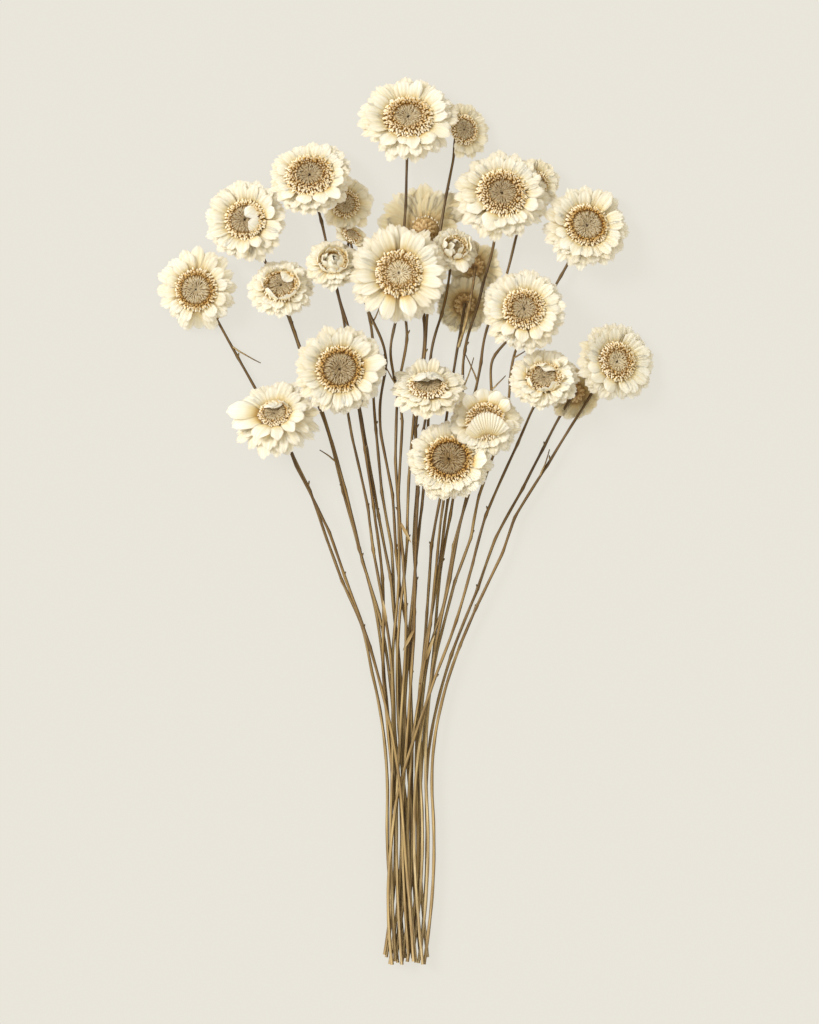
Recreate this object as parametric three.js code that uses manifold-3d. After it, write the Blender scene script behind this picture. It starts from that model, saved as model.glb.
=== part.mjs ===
// A bunch of dried star flowers, cut and laid down on its back. Millimetres, +Z up, +Y towards the
// flower heads. The bunch lies on the plane z = 0. Its stems run in four flat layers, one above
// the other, and near its head each stem bends up, at its neck, into the calyx under the head.
// A head's own frame has its origin in the middle of the disc and +Z along its axis, outwards.
import * as THREE from "three";
import { mergeVertices } from "three/addons/utils/BufferGeometryUtils.js";
import Module from "manifold-3d";

const wasm = await Module();
wasm.setup();

// Clearances
const GAP = 0.35; // between a petal and the wood or any other flower
const OWN_GAP = 0.05; // between two petals of one head
const FLOOR = 0.02; // least height of a petal

// Stems
const STEM_SIDES = 5;
const FOOT_RADIUS = 0.85;
const NECK_RADIUS = 0.66;
const STEM_FLAT = Math.cos(Math.PI / STEM_SIDES); // from a stem's middle to its flat, per radius
const LAYER_PITCH = 1.95;
const RUN_STEP = 36; // longest stretch between two rings of a stem
const NECK_STEPS = 4;
const NECK_HANDLES = [0.42, 0.36]; // how far the curve of a neck holds its ways, at its two ends
const BRANCH_WAY = [0.25, 0.7, 0.75]; // in which a branch leaves its parent
const BRANCH_FROM = 0.85; // of the last stretch below the parent's neck
const FOOT_Y = -222;
const FOOT_SCATTER = 9; // stems are cut up to this much shorter
const WAIST_Y = -140;
const FAN_POWER = 1.7; // how late the stems spread out above the waist
const FOOT_POWER = 1.5; // and below it, towards the feet
const ORDER_Y = 0; // where the stems of a layer are put in order
const SLOT_SCATTER = 0.3;

// Each layer of stems, lowest first: the middle and width of its row at the waist and at the feet.
const LAYERS = [
  { waist: 2.5, waistWidth: 15, foot: -1.5, footWidth: 17 },
  { waist: -0.5, waistWidth: 16, foot: 3.5, footWidth: 15 },
  { waist: 3.0, waistWidth: 19, foot: -1.0, footWidth: 20 },
  { waist: 0.5, waistWidth: 17, foot: 1.5, footWidth: 21 },
];

// A head, as shares of its disc's radius, from the middle of the disc down its axis
const HEAD_SIDES = 10;
const PIT_HEIGHT = 0.04;
const MIDDLE = { radius: 0.56, height: 0.13, relief: 0.025 };
const FLORETS = { radius: 0.84, height: 0.17, relief: 0.06, spread: 0.03 };
const CONE_DEPTH = 0.56;
const CALYX = { radius: 0.24, depth: 0.61 };
const BASE_DEPTH = 0.77;
const LEAST_CONE_RADIUS = 1.05;
const CONE_END = 0.12; // radius of the cone's lower end
// The funnel that the petals grow from, round the cone under the disc, in millimetres
const DISC_OVERHANG = 2.75;
const OVERHANG_DROP = 0.7;
const FUNNEL_TOP = -1.1;
const FUNNEL_GAP = 0.5;
const FUNNEL_WALL = 2.0;
const FUNNEL_LIFT = 0.45; // of its lower edge above the calyx

// Petals
const PETAL_THICKNESS = 1.0;
const ROOT_WIDTH = 0.5; // of the petal's width
const ROOT_HEIGHT = 1.3; // of the triangle on the funnel that a petal grows from
const MOST_ROOT = 0.42; // of the funnel's height that a row's triangles may take
const ROOT_SHARE = 0.75; // most of the funnel's edge that the roots of a row may fill
const FLAT_STATIONS = [0, 0.52, 0.86];
const CURLED_STATIONS = [0, 0.28, 0.56, 0.86];
const WIDEST_AT = 0.62; // along the petal
const TIP_WIDTH = 0.64;
const CURL_ANGLE = 60; // a petal that bends further than this has more stations
// How far petals differ from one another, in degrees and as shares of their length and width
const VARIETY = { turn: 5, length: 0.1, width: 0.12, rise: 6, tip: 8, foldedTip: 16 };
// What a petal tries, in turn, to lie clear of the other flowers: lifts in degrees, then lengths
const LIFTS = [0, 4, -4, 8, -8, 12, -12, 16, -16, 20, -20, 25, 30, 36];
const LENGTHS = [1, 0.8, 0.62];
const WALL_CLEAR = 5; // degrees that an outer petal keeps below the slope of the funnel

// Rows of petals by form of head, the outer row first. share: length beside the reach of the head
// past its disc. rise and tip: degrees above the plane of the disc, at the root and at the tip.
// fan: degrees of the circle that hold petals.
const FORMS = {
  open: [
    { count: 10, share: 1.0, width: 9.6, rise: 20, tip: -2, fan: 360 },
    { count: 9, share: 0.9, width: 9.0, rise: 38, tip: 14, fan: 360 },
  ],
  drooped: [
    { count: 10, share: 1.0, width: 9.4, rise: -4, tip: -34, fan: 360 },
    { count: 9, share: 0.92, width: 8.6, rise: 26, tip: 8, fan: 360 },
  ],
  cup: [
    { count: 8, share: 1.0, width: 9.2, rise: 14, tip: -20, fan: 360 },
    { count: 7, share: 0.95, width: 7.0, rise: 40, tip: 122, fan: 360 },
  ],
  back: [{ count: 9, share: 1.0, width: 7.4, rise: 26, tip: -6, fan: 360 }],
  half: [{ count: 10, share: 1.0, width: 7.4, rise: 20, tip: 4, fan: 260 }],
  fallen: [{ count: 10, share: 1.0, width: 7.4, rise: 34, tip: -14, fan: 230 }],
};
// The short inner petals that fold over the disc
const FOLDED = { length: 12.5, width: 5.8, rise: 36, tip: 152 };

// The point of the surface under the middle of the bunch, which is the object's origin
const ORIGIN = [-0.33, 0.97];

const STEM_COLOUR = 0x8a6a38;
const PETAL_COLOUR = 0xf3e8cf;
const stemFinish = new THREE.MeshStandardMaterial({ color: STEM_COLOUR, roughness: 0.85 });
const petalFinish = new THREE.MeshStandardMaterial({ color: PETAL_COLOUR, roughness: 0.6 });

const radians = THREE.MathUtils.degToRad;
const lerp = THREE.MathUtils.lerp;

// One flower. middle: the middle of its disc. lean: of its axis from straight up, towards way,
// which is 0 towards +X and 90 towards +Y. reach: from the disc's middle to the petals' tips.
// layer: of its stem. bow: how far the stem bows sideways. folded: way and number of the short
// petals that fold over the disc. turn: way of the middle of the petals' fan.
function flower(number, middle, lean, way, reach, disc, form, layer, more = {}) {
  const turning = new THREE.Vector3(-Math.sin(radians(way)), Math.cos(radians(way)), 0);
  const pose = new THREE.Quaternion().setFromAxisAngle(turning, radians(lean));
  const place = new THREE.Vector3(...middle);
  const axis = new THREE.Vector3(0, 0, 1).applyQuaternion(pose);
  return {
    number,
    name: "flower_" + String(number).padStart(2, "0"),
    middle: place,
    pose,
    axis,
    base: place.clone().addScaledVector(axis, -BASE_DEPTH * disc),
    matrix: new THREE.Matrix4().compose(place, pose, new THREE.Vector3(1, 1, 1)),
    reach,
    disc,
    form,
    layer,
    bow: 0,
    neck: 15,
    folded: [],
    turn: 90,
    ...more,
  };
}

const FLOWERS = [
  flower(1, [1, 202, 15], 33, 90, 25, 12.2, "open", 2, { bow: -2, folded: [-90, 3] }),
  flower(2, [29, 196, 10], 30, 20, 15, 7.5, "half", 2, { bow: -5, turn: 10 }),
  flower(3, [-48, 173, 15], 33, 100, 21.5, 12, "open", 1, { folded: [-60, 3] }),
  flower(4, [-30.5, 159, 8.2], 10, 0, 15, 7, "half", 0, { turn: -20 }),
  flower(5, [-80.5, 151, 10], 18, 130, 21.5, 10, "open", 0, { folded: [-20, 4] }),
  flower(6, [-105, 116, 10], 8, 200, 21.3, 10.2, "drooped", 1),
  flower(7, [-62.5, 118, 13], 30, 90, 17.5, 9, "cup", 1),
  flower(8, [-36.5, 130, 12.5], 30, 90, 15, 6.5, "cup", 2),
  flower(9, [-27, 143, 9], 50, 60, 9, 5, "half", 1, { turn: 60 }),
  flower(10, [9.5, 146, 2.2], 165, 90, 24, 7, "fallen", 0, { neck: 12, turn: -90 }),
  flower(11, [48, 164, 15], 22, 80, 24, 12.5, "open", 2, { bow: 4, folded: [-110, 3] }),
  flower(12, [64.5, 169, 8.4], 10, 20, 14, 6.5, "half", 1, { turn: 20 }),
  flower(13, [90.5, 148, 12], 22, 60, 22.5, 10.7, "open", 2, { folded: [-120, 3] }),
  flower(14, [-3.5, 124, 18.5], 8, 90, 26, 11.5, "open", 3),
  flower(15, [24.5, 137, 8.5], 25, 60, 12, 6, "cup", 2, { bow: -2 }),
  flower(16, [34.5, 128, 2], 170, 90, 14, 6, "back", 0, { branchOf: 17 }),
  flower(17, [29.5, 109, 0.2], 180, 90, 15, 7, "back", 0, { neck: 16 }),
  flower(18, [59, 106, 16], 18, 90, 22, 10.5, "open", 2, { folded: [-100, 3] }),
  flower(19, [105.5, 80, 11], 25, 20, 21, 9.7, "open", 2, { folded: [-130, 4] }),
  flower(20, [69, 72, 15.5], 33, 90, 18, 8.5, "open", 3, { folded: [-60, 2] }),
  flower(21, [85, 64, 1.6], 172, -60, 14, 6, "back", 0, { neck: 12 }),
  flower(22, [-33, 76, 18], 5, 90, 23.5, 11.5, "open", 3),
  flower(23, [-65.5, 54, 16], 40, 100, 23, 8, "cup", 3),
  flower(24, [11, 68, 16], 48, 90, 20, 9.5, "cup", 3),
  flower(25, [21.5, 31, 20], 20, 90, 22, 12, "open", 3),
  flower(26, [39.5, 50, 17.5], 15, 90, 19, 9.5, "cup", 3),
];

// Dried scraps of leaf, each on a flower's stem: where along it, and its length and way.
const LEAF_SCRAPS = [
  { number: 14, y: 0, length: 12, way: -62 },
  { number: 22, y: -52, length: 13, way: 98 },
  { number: 24, y: -54, length: 12, way: -118 },
  { number: 25, y: -70, length: 14, way: 70 },
];
const LEAF_WIDTH = 2.4;

// The same numbers each run, from 0 to 1.
function drawFrom(seed) {
  let state = seed >>> 0;
  return () => {
    state = (state + 0x6d2b79f5) >>> 0;
    let mixed = Math.imul(state ^ (state >>> 15), state | 1);
    mixed ^= mixed + Math.imul(mixed ^ (mixed >>> 7), mixed | 61);
    return ((mixed ^ (mixed >>> 14)) >>> 0) / 4294967296;
  };
}

function solidOf(geometry) {
  const bare = geometry.clone();
  bare.deleteAttribute("normal");
  bare.deleteAttribute("uv");
  const merged = mergeVertices(bare, 1e-4);
  return new wasm.Manifold(
    new wasm.Mesh({
      numProp: 3,
      vertProperties: merged.attributes.position.array,
      triVerts: new Uint32Array(merged.index.array),
    }),
  );
}

function geometryOf(solid) {
  const mesh = solid.getMesh();
  const corners = new Float32Array(mesh.numVert * 3);
  for (let i = 0; i < mesh.numVert; i++) {
    for (let k = 0; k < 3; k++) corners[3 * i + k] = mesh.vertProperties[mesh.numProp * i + k];
  }
  const geometry = new THREE.BufferGeometry();
  geometry.setAttribute("position", new THREE.BufferAttribute(corners, 3));
  geometry.setIndex(new THREE.BufferAttribute(new Uint32Array(mesh.triVerts), 1));
  geometry.computeVertexNormals();
  return geometry;
}

// A surface in the making: its points, and its triangles, which face out where loops run
// anticlockwise and each loop lies further along the axis, or further in, than the one before.
class Skin {
  constructor() {
    this.points = [];
    this.index = [];
  }

  // A loop of points. turns are their angles round the axis.
  loop(points, turns) {
    const first = this.points.length;
    this.points.push(...points);
    return points.map((_, i) => ({ at: first + i, turn: turns ? turns[i] : i }));
  }

  // Joins two loops with the same number of points, one to one.
  join(before, after) {
    before.forEach(({ at: a }, i) => {
      const { at: b } = before[(i + 1) % before.length];
      const [c, d] = [after[(i + 1) % after.length].at, after[i].at];
      this.index.push(a, b, c, a, c, d);
    });
  }

  // Joins two loops round the same axis by their turns, whatever their numbers of points.
  zip(before, after) {
    const full = 2 * Math.PI;
    const turnOf = (loop, i) => loop[i % loop.length].turn + full * Math.floor(i / loop.length);
    const gapTo = (point) => Math.abs(Math.sin((point.turn - before[0].turn) / 2));
    const nearest = after.reduce((best, point, i) => (gapTo(point) < gapTo(after[best]) ? i : best), 0);
    const shift = full * Math.round((before[0].turn - after[nearest].turn) / full);
    let [i, j] = [0, nearest];
    while (i < before.length || j < nearest + after.length) {
      const [a, b] = [before[i % before.length].at, after[j % after.length].at];
      const mine = turnOf(before, i + 1);
      const theirs = turnOf(after, j + 1) + shift;
      if (i < before.length && (j >= nearest + after.length || mine <= theirs)) {
        this.index.push(a, before[(i + 1) % before.length].at, b);
        i++;
      } else {
        this.index.push(a, after[(j + 1) % after.length].at, b);
        j++;
      }
    }
  }

  // Closes the first loop of a surface.
  start(loop) {
    for (let i = 1; i < loop.length - 1; i++) {
      this.index.push(loop[0].at, loop[i + 1].at, loop[i].at);
    }
  }

  // Closes the last loop of a surface, with a tip if one is given.
  end(loop, tip) {
    if (tip) {
      const [{ at }] = this.loop([tip]);
      loop.forEach((point, i) => {
        this.index.push(point.at, loop[(i + 1) % loop.length].at, at);
      });
      return;
    }
    for (let i = 1; i < loop.length - 1; i++) {
      this.index.push(loop[0].at, loop[i].at, loop[i + 1].at);
    }
  }

  geometry() {
    const geometry = new THREE.BufferGeometry().setFromPoints(this.points);
    geometry.setIndex(this.index);
    return geometry;
  }
}

function around(turn, radius, height) {
  return new THREE.Vector3(radius * Math.cos(turn), radius * Math.sin(turn), height);
}

// The stations of a petal or leaf, from its root to its tip: the middle of its upper face, half its
// width there, and the ways along it, across it and off its face. It starts at root, [distance
// from the axis, height], and heads outwards at turn, bending from rise to tip.
function stationsOf({ turn, root, rootWidth, length, width, rise, tip }) {
  const out = around(turn, 1, 0);
  const side = around(turn + Math.PI / 2, 1, 0);
  const up = new THREE.Vector3(0, 0, 1);
  const [first, last] = [radians(rise), radians(tip === rise ? tip + 0.1 : tip)];
  const radius = length / (last - first);
  const shares = Math.abs(tip - rise) > CURL_ANGLE ? CURLED_STATIONS : FLAT_STATIONS;
  return [...shares, 1].map((share) => {
    const angle = lerp(first, last, share);
    const along = out.clone().multiplyScalar(Math.cos(angle)).addScaledVector(up, Math.sin(angle));
    const face = out.clone().multiplyScalar(-Math.sin(angle)).addScaledVector(up, Math.cos(angle));
    const middle = out
      .clone()
      .multiplyScalar(root[0] + radius * (Math.sin(angle) - Math.sin(first)))
      .addScaledVector(up, root[1] + radius * (Math.cos(first) - Math.cos(angle)));
    const full = lerp(rootWidth, width, Math.sin((Math.min(share / WIDEST_AT, 1) * Math.PI) / 2));
    const narrowing = (1 - TIP_WIDTH) * Math.max(0, (share - WIDEST_AT) / (1 - WIDEST_AT));
    return { middle, along, side, face, half: (full - width * narrowing) / 2 };
  });
}

// A petal's loops past its root, each with a rib along the back and two edges, and its tip.
function bladeRings(petal) {
  const stations = stationsOf(petal);
  const rings = stations.slice(0, -1).map(({ middle, side, face, half }) => [
    middle.clone().addScaledVector(face, -PETAL_THICKNESS),
    middle.clone().addScaledVector(side, half),
    middle.clone().addScaledVector(side, -half),
  ]);
  return { rings, end: stations.at(-1).middle };
}

function bladeGeometry(petal) {
  const skin = new Skin();
  const { rings, end } = bladeRings(petal);
  const loops = rings.map((points) => skin.loop(points));
  skin.start(loops[0]);
  for (let i = 0; i + 1 < loops.length; i++) skin.join(loops[i], loops[i + 1]);
  skin.end(loops.at(-1), end);
  return skin.geometry();
}

// The room that a petal takes with a gap all round it.
function roomGeometry(petal, gap) {
  const skin = new Skin();
  const loops = stationsOf(petal).map(({ middle, along, side, face, half }, i, stations) => {
    const isTip = i === stations.length - 1;
    const centre = middle.clone().addScaledVector(along, isTip ? gap : 0);
    const corner = (across, off) =>
      centre.clone().addScaledVector(side, across).addScaledVector(face, off);
    const wide = (isTip ? 0 : half) + gap;
    const rib = corner(0, isTip ? -2 * gap : -PETAL_THICKNESS - gap);
    const [left, right] = [corner(wide, -gap), corner(-wide, -gap)];
    return skin.loop([rib, left, corner(wide, gap), corner(-wide, gap), right]);
  });
  skin.start(loops[0]);
  for (let i = 0; i + 1 < loops.length; i++) skin.join(loops[i], loops[i + 1]);
  skin.end(loops.at(-1));
  return skin.geometry();
}

// The cone under a disc: its radius at a height below the disc.
function coneRadius(disc, height) {
  const top = [disc - DISC_OVERHANG, -OVERHANG_DROP];
  const bottom = [Math.max(LEAST_CONE_RADIUS, CONE_END * disc), -CONE_DEPTH * disc];
  return lerp(top[0], bottom[0], (height - top[1]) / (bottom[1] - top[1]));
}

// A loop of points round the axis, with radius and height worked out for each.
function circle(skin, count, radiusAt, heightAt, matrix = new THREE.Matrix4()) {
  const turns = Array.from({ length: count }, (_, i) => (2 * Math.PI * i) / count);
  const points = turns.map((turn, i) => around(turn, radiusAt(i), heightAt(i)));
  return skin.loop(
    points.map((point) => point.applyMatrix4(matrix)),
    turns,
  );
}

// A stem from its foot to its calyx, then the cone under the disc and the disc with its florets.
function stemGeometry(line, one) {
  const skin = new Skin();
  const toHead = one.matrix.clone().invert();
  let normal = new THREE.Vector3(0, 0, 1);
  let last = null;
  line.forEach((point, i) => {
    const tangent = line[Math.min(i + 1, line.length - 1)].clone();
    tangent.sub(line[Math.max(i - 1, 0)]).normalize();
    normal = normal.clone().addScaledVector(tangent, -normal.dot(tangent)).normalize();
    const side = tangent.clone().cross(normal);
    const radius = lerp(FOOT_RADIUS, NECK_RADIUS, i / (line.length - 1));
    const points = Array.from({ length: STEM_SIDES }, (_, k) => {
      const turn = (2 * Math.PI * k) / STEM_SIDES;
      return point
        .clone()
        .addScaledVector(normal, radius * Math.cos(turn))
        .addScaledVector(side, radius * Math.sin(turn));
    });
    const turns = points.map((corner) => {
      const inHead = corner.clone().applyMatrix4(toHead);
      return Math.atan2(inHead.y, inHead.x);
    });
    const loop = skin.loop(points, turns);
    if (last) skin.join(last, loop);
    else skin.start(loop);
    last = loop;
  });
  const { disc, matrix } = one;
  const wave = (i) => (i % 2 ? -1 : 1);
  const plain = (radius, height) => circle(skin, HEAD_SIDES, () => radius, () => height, matrix);
  const calyx = plain(CALYX.radius * disc, -CALYX.depth * disc);
  const coneEnd = plain(coneRadius(disc, -CONE_DEPTH * disc), -CONE_DEPTH * disc);
  const underside = plain(disc - DISC_OVERHANG, -OVERHANG_DROP);
  const edge = plain(disc, 0);
  const florets = circle(
    skin,
    2 * HEAD_SIDES,
    (i) => (FLORETS.radius + FLORETS.spread * wave(i)) * disc,
    (i) => (FLORETS.height + FLORETS.relief * wave(i)) * disc,
    matrix,
  );
  const middle = circle(
    skin,
    HEAD_SIDES,
    () => MIDDLE.radius * disc,
    (i) => (MIDDLE.height + MIDDLE.relief * wave(i)) * disc,
    matrix,
  );
  const byTurn = last.map((point) => ({ ...point, turn: (point.turn + 2 * Math.PI) % (2 * Math.PI) }));
  const smallest = byTurn.reduce((best, point, i) => (point.turn < byTurn[best].turn ? i : best), 0);
  skin.zip([...byTurn.slice(smallest), ...byTurn.slice(0, smallest)], calyx);
  skin.join(calyx, coneEnd);
  skin.join(coneEnd, underside);
  skin.join(underside, edge);
  skin.zip(edge, florets);
  skin.zip(florets, middle);
  skin.end(middle, new THREE.Vector3(0, 0, PIT_HEIGHT * disc).applyMatrix4(matrix));
  return skin.geometry();
}

function wallRadius(disc, height) {
  return coneRadius(disc, height) + FUNNEL_GAP + FUNNEL_WALL;
}

// The slope of the funnel's wall, in degrees.
function wallSlope(disc) {
  const [top, bottom] = [-OVERHANG_DROP, -CONE_DEPTH * disc];
  const run = coneRadius(disc, top) - coneRadius(disc, bottom);
  return THREE.MathUtils.radToDeg(Math.atan2(top - bottom, run));
}

// The heights on the funnel, lower and upper, between which a row of petals grows.
function rowHeights(disc, row, rows) {
  const bottom = FUNNEL_LIFT - CONE_DEPTH * disc;
  const height = Math.min(ROOT_HEIGHT, MOST_ROOT * (FUNNEL_TOP - bottom));
  if (row === rows - 1 && rows > 1) return [FUNNEL_TOP - height, FUNNEL_TOP];
  return [bottom, bottom + height];
}

// Every petal that a head has, row by row, in its own frame. One that is left out keeps its root.
function petalRows(one, draw) {
  const form = FORMS[one.form];
  const some = (spread) => spread * (draw() - 0.5);
  return form.map(({ count, share, width, rise, tip, fan }, row) => {
    const [, height] = rowHeights(one.disc, row, form.length);
    const root = [wallRadius(one.disc, height), height];
    const bend = Math.cos(radians((rise + Math.min(tip, 40)) / 2));
    const most = 2 * root[0] * Math.sin((ROOT_SHARE * Math.PI) / count);
    const [way, folded] = one.folded;
    return Array.from({ length: count }, (_, i) => {
      const turn = one.turn + ((i + (row % 2) / 2) * 360) / count;
      const away = Math.abs(THREE.MathUtils.euclideanModulo(turn - one.turn + 180, 360) - 180);
      const petal = {
        turn: radians(THREE.MathUtils.euclideanModulo(turn + some(VARIETY.turn), 360)),
        root,
        length: (share * (one.reach - root[0]) * (1 + some(VARIETY.length))) / bend,
        width: width * (1 + some(VARIETY.width)),
        rise: rise + some(VARIETY.rise),
        tip: tip + some(VARIETY.tip),
        steepest: row ? 90 : wallSlope(one.disc) - WALL_CLEAR,
        missing: away > fan / 2,
      };
      petal.rootWidth = Math.min(ROOT_WIDTH * petal.width, most);
      const aside = Math.abs(THREE.MathUtils.euclideanModulo(turn - way + 180, 360) - 180);
      const fold = row === 1 && aside < (folded * 180) / count;
      return fold ? { ...petal, ...FOLDED, tip: FOLDED.tip + some(VARIETY.foldedTip) } : petal;
    }).sort((a, b) => a.turn - b.turn);
  });
}

// The funnel of a head with its petals, as one closed surface.
function petalsGeometry(one, rows) {
  const { disc } = one;
  const skin = new Skin();
  const bottom = FUNNEL_LIFT - CONE_DEPTH * disc;
  const inner = (height) =>
    circle(skin, HEAD_SIDES, () => coneRadius(disc, height) + FUNNEL_GAP, () => height);
  const innerBottom = inner(bottom);
  let last = innerBottom;
  rows.forEach((petals, row) => {
    const [low, high] = rowHeights(disc, row, rows.length);
    const radius = wallRadius(disc, high);
    const ribs = skin.loop(
      petals.map(({ turn }) => around(turn, wallRadius(disc, low), low)),
      petals.map(({ turn }) => turn),
    );
    const edges = petals.map(({ turn, rootWidth }) => {
      const half = Math.asin(rootWidth / 2 / radius);
      const turns = [turn - half, turn + half];
      return skin.loop(turns.map((each) => around(each, radius, high)), turns);
    });
    skin.zip(last, ribs);
    petals.forEach((petal, i) => {
      const after = (i + 1) % petals.length;
      skin.index.push(ribs[i].at, ribs[after].at, edges[i][1].at);
      skin.index.push(edges[i][1].at, ribs[after].at, edges[after][0].at);
      const root = [ribs[i], edges[i][1], edges[i][0]];
      if (petal.missing) {
        skin.end(root);
        return;
      }
      const { rings, end } = bladeRings(petal);
      const loops = [root, ...rings.slice(1).map((points) => skin.loop(points))];
      for (let k = 0; k + 1 < loops.length; k++) skin.join(loops[k], loops[k + 1]);
      skin.end(loops.at(-1), end);
    });
    last = edges.flat();
  });
  const innerTop = inner(FUNNEL_TOP);
  skin.zip(last, innerTop);
  skin.join(innerTop, innerBottom);
  return skin.geometry();
}

// The stems of one layer stand side by side, in the order in which their heads fan out.
function giveSlots() {
  const draw = drawFrom(11);
  for (const [layer, row] of LAYERS.entries()) {
    const stems = FLOWERS.filter((one) => one.layer === layer && !one.branchOf);
    const spread = (one) => {
      const share = (ORDER_Y - WAIST_Y) / (one.base.y - WAIST_Y);
      return one.base.x * share ** FAN_POWER + one.bow;
    };
    stems.sort((a, b) => spread(a) - spread(b));
    stems.forEach((one, i) => {
      const share = stems.length > 1 ? i / (stems.length - 1) - 0.5 : 0;
      one.waistX = row.waist + share * row.waistWidth + SLOT_SCATTER * (draw() - 0.5);
      one.footX = row.foot + share * row.footWidth + SLOT_SCATTER * (draw() - 0.5);
      one.footY = FOOT_Y + FOOT_SCATTER * draw() ** 2;
      one.height = FOOT_RADIUS * STEM_FLAT + layer * LAYER_PITCH;
    });
  }
}

// A stem's middle line at y, from its foot to its neck.
function runAt(one, y) {
  let x = one.waistX;
  if (y > WAIST_Y) {
    const share = (y - WAIST_Y) / (one.base.y - WAIST_Y);
    x += (one.base.x - one.waistX) * share ** FAN_POWER + one.bow * Math.sin(Math.PI * share);
  } else {
    x += (one.footX - one.waistX) * ((WAIST_Y - y) / (WAIST_Y - one.footY)) ** FOOT_POWER;
  }
  return new THREE.Vector3(x, y, one.height);
}

function neckCurve(start, heading, one) {
  const reach = start.distanceTo(one.base);
  return new THREE.CubicBezierCurve3(
    start,
    start.clone().addScaledVector(heading, NECK_HANDLES[0] * reach),
    one.base.clone().addScaledVector(one.axis, -NECK_HANDLES[1] * reach),
    one.base,
  );
}

// The middle line of a stem, from its foot to its calyx.
function stemLine(one) {
  const neckY = one.base.y - one.neck;
  const steps = Math.ceil((neckY - one.footY) / RUN_STEP);
  const line = [];
  for (let i = 0; i < steps; i++) line.push(runAt(one, lerp(one.footY, neckY, i / steps)));
  const start = runAt(one, neckY);
  const heading = start.clone().sub(runAt(one, neckY - 1)).normalize();
  return [...line, ...neckCurve(start, heading, one).getPoints(NECK_STEPS)];
}

// A branch leaves its parent's stem below the parent's head.
function branchLine(one, parent) {
  const line = stemLine(parent);
  const fork = line.at(-2 - NECK_STEPS).clone().lerp(line.at(-1 - NECK_STEPS), BRANCH_FROM);
  const heading = new THREE.Vector3(...BRANCH_WAY).normalize();
  return neckCurve(fork, heading, one).getPoints(NECK_STEPS + 1);
}

// What lies below the surface is pressed flat on it.
function pressedFlat(solid) {
  const size = 1000;
  const room = new THREE.BoxGeometry(size, size, size).translate(0, 0, size / 2);
  return solid.intersect(solidOf(room));
}

function obstacle(kind, owner, geometry) {
  geometry.computeBoundingBox();
  return { kind, owner, box: geometry.boundingBox, solid: solidOf(geometry) };
}

function crosses(geometry, obstacles) {
  geometry.computeBoundingBox();
  const near = obstacles.filter((other) => other.box.intersectsBox(geometry.boundingBox));
  if (!near.length) return false;
  const solid = solidOf(geometry);
  return near.some((other) => !other.solid.intersect(solid).isEmpty());
}

// The petal bent, or shortened, until it lies clear of the surface, of the other petals of its head
// and of all the rest. A petal that finds no room is left out.
function bentClear(petal, one, obstacles) {
  const others = obstacles.filter((other) => other.kind === "wood" || other.owner !== one.name);
  const own = obstacles.filter((other) => other.kind === "petal" && other.owner === one.name);
  for (const shorter of LENGTHS) {
    for (const lift of LIFTS) {
      const bent = {
        ...petal,
        length: petal.length * shorter,
        rise: petal.rise + lift,
        tip: petal.tip + lift,
      };
      if (bent.rise > petal.steepest) continue;
      const blade = bladeGeometry(bent).applyMatrix4(one.matrix);
      blade.computeBoundingBox();
      if (blade.boundingBox.min.z < FLOOR) continue;
      if (crosses(roomGeometry(bent, OWN_GAP).applyMatrix4(one.matrix), own)) continue;
      if (!crosses(roomGeometry(bent, GAP).applyMatrix4(one.matrix), others)) return bent;
    }
  }
  return { ...petal, missing: true };
}

function leafScraps(one) {
  return LEAF_SCRAPS.filter((leaf) => leaf.number === one.number).map(({ y, length, way }) => {
    const shape = { length, width: LEAF_WIDTH, rootWidth: LEAF_WIDTH / 2, rise: 24, tip: 6 };
    const leaf = { turn: radians(way), root: [0, 0], ...shape };
    const place = runAt(one, y);
    return bladeGeometry(leaf).translate(place.x, place.y, place.z);
  });
}

function fuse(geometries) {
  return geometries.map(solidOf).reduce((whole, next) => whole.add(next));
}

// Stems first, each with its disc and calyx, and a branch with its parent.
giveSlots();
const bunch = new THREE.Group();
bunch.name = "dried_star_flowers";
const obstacles = [];
const byNumber = new Map(FLOWERS.map((one) => [one.number, one]));
for (const one of FLOWERS) {
  const line = one.branchOf ? branchLine(one, byNumber.get(one.branchOf)) : stemLine(one);
  one.wood = [stemGeometry(line, one), ...leafScraps(one)];
  one.rows = petalRows(one, drawFrom(one.number));
  const bare = one.rows.map((row) => row.map((petal) => ({ ...petal, missing: true })));
  const funnel = petalsGeometry(one, bare).applyMatrix4(one.matrix);
  obstacles.push(...one.wood.map((piece) => obstacle("wood", one.name, piece)));
  obstacles.push(obstacle("funnel", one.name, funnel));
}

for (const one of FLOWERS.filter((any) => !any.branchOf)) {
  const branches = FLOWERS.filter((any) => any.branchOf === one.number);
  const wood = pressedFlat(fuse([one, ...branches].flatMap((any) => any.wood)));
  const stem = new THREE.Mesh(geometryOf(wood), stemFinish);
  stem.name = one.name + "_stem";
  bunch.add(stem);
}

// Then the petals, head by head, each bent clear of what is there already.
for (const one of FLOWERS) {
  one.rows = one.rows.map((row) =>
    row.map((petal) => {
      if (petal.missing) return petal;
      const bent = bentClear(petal, one, obstacles);
      if (!bent.missing) {
        obstacles.push(obstacle("petal", one.name, bladeGeometry(bent).applyMatrix4(one.matrix)));
      }
      return bent;
    }),
  );
  const petals = new THREE.Mesh(petalsGeometry(one, one.rows), petalFinish);
  petals.name = one.name + "_petals";
  petals.position.copy(one.middle);
  petals.quaternion.copy(one.pose);
  petals.userData.petals = one.rows.flat().filter((petal) => !petal.missing).length;
  bunch.add(petals);
}
bunch.position.set(-ORIGIN[0], -ORIGIN[1], 0);

export default bunch;
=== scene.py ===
"""Dried star flowers: a cut bunch of 26 papery heads, laid down on a pale surface.

Lengths are in millimetres and angles in degrees up to the moment a mesh is made. A head is built
in its own frame, with its disc in the plane z = 0 and its axis along +Z.
"""

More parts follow.
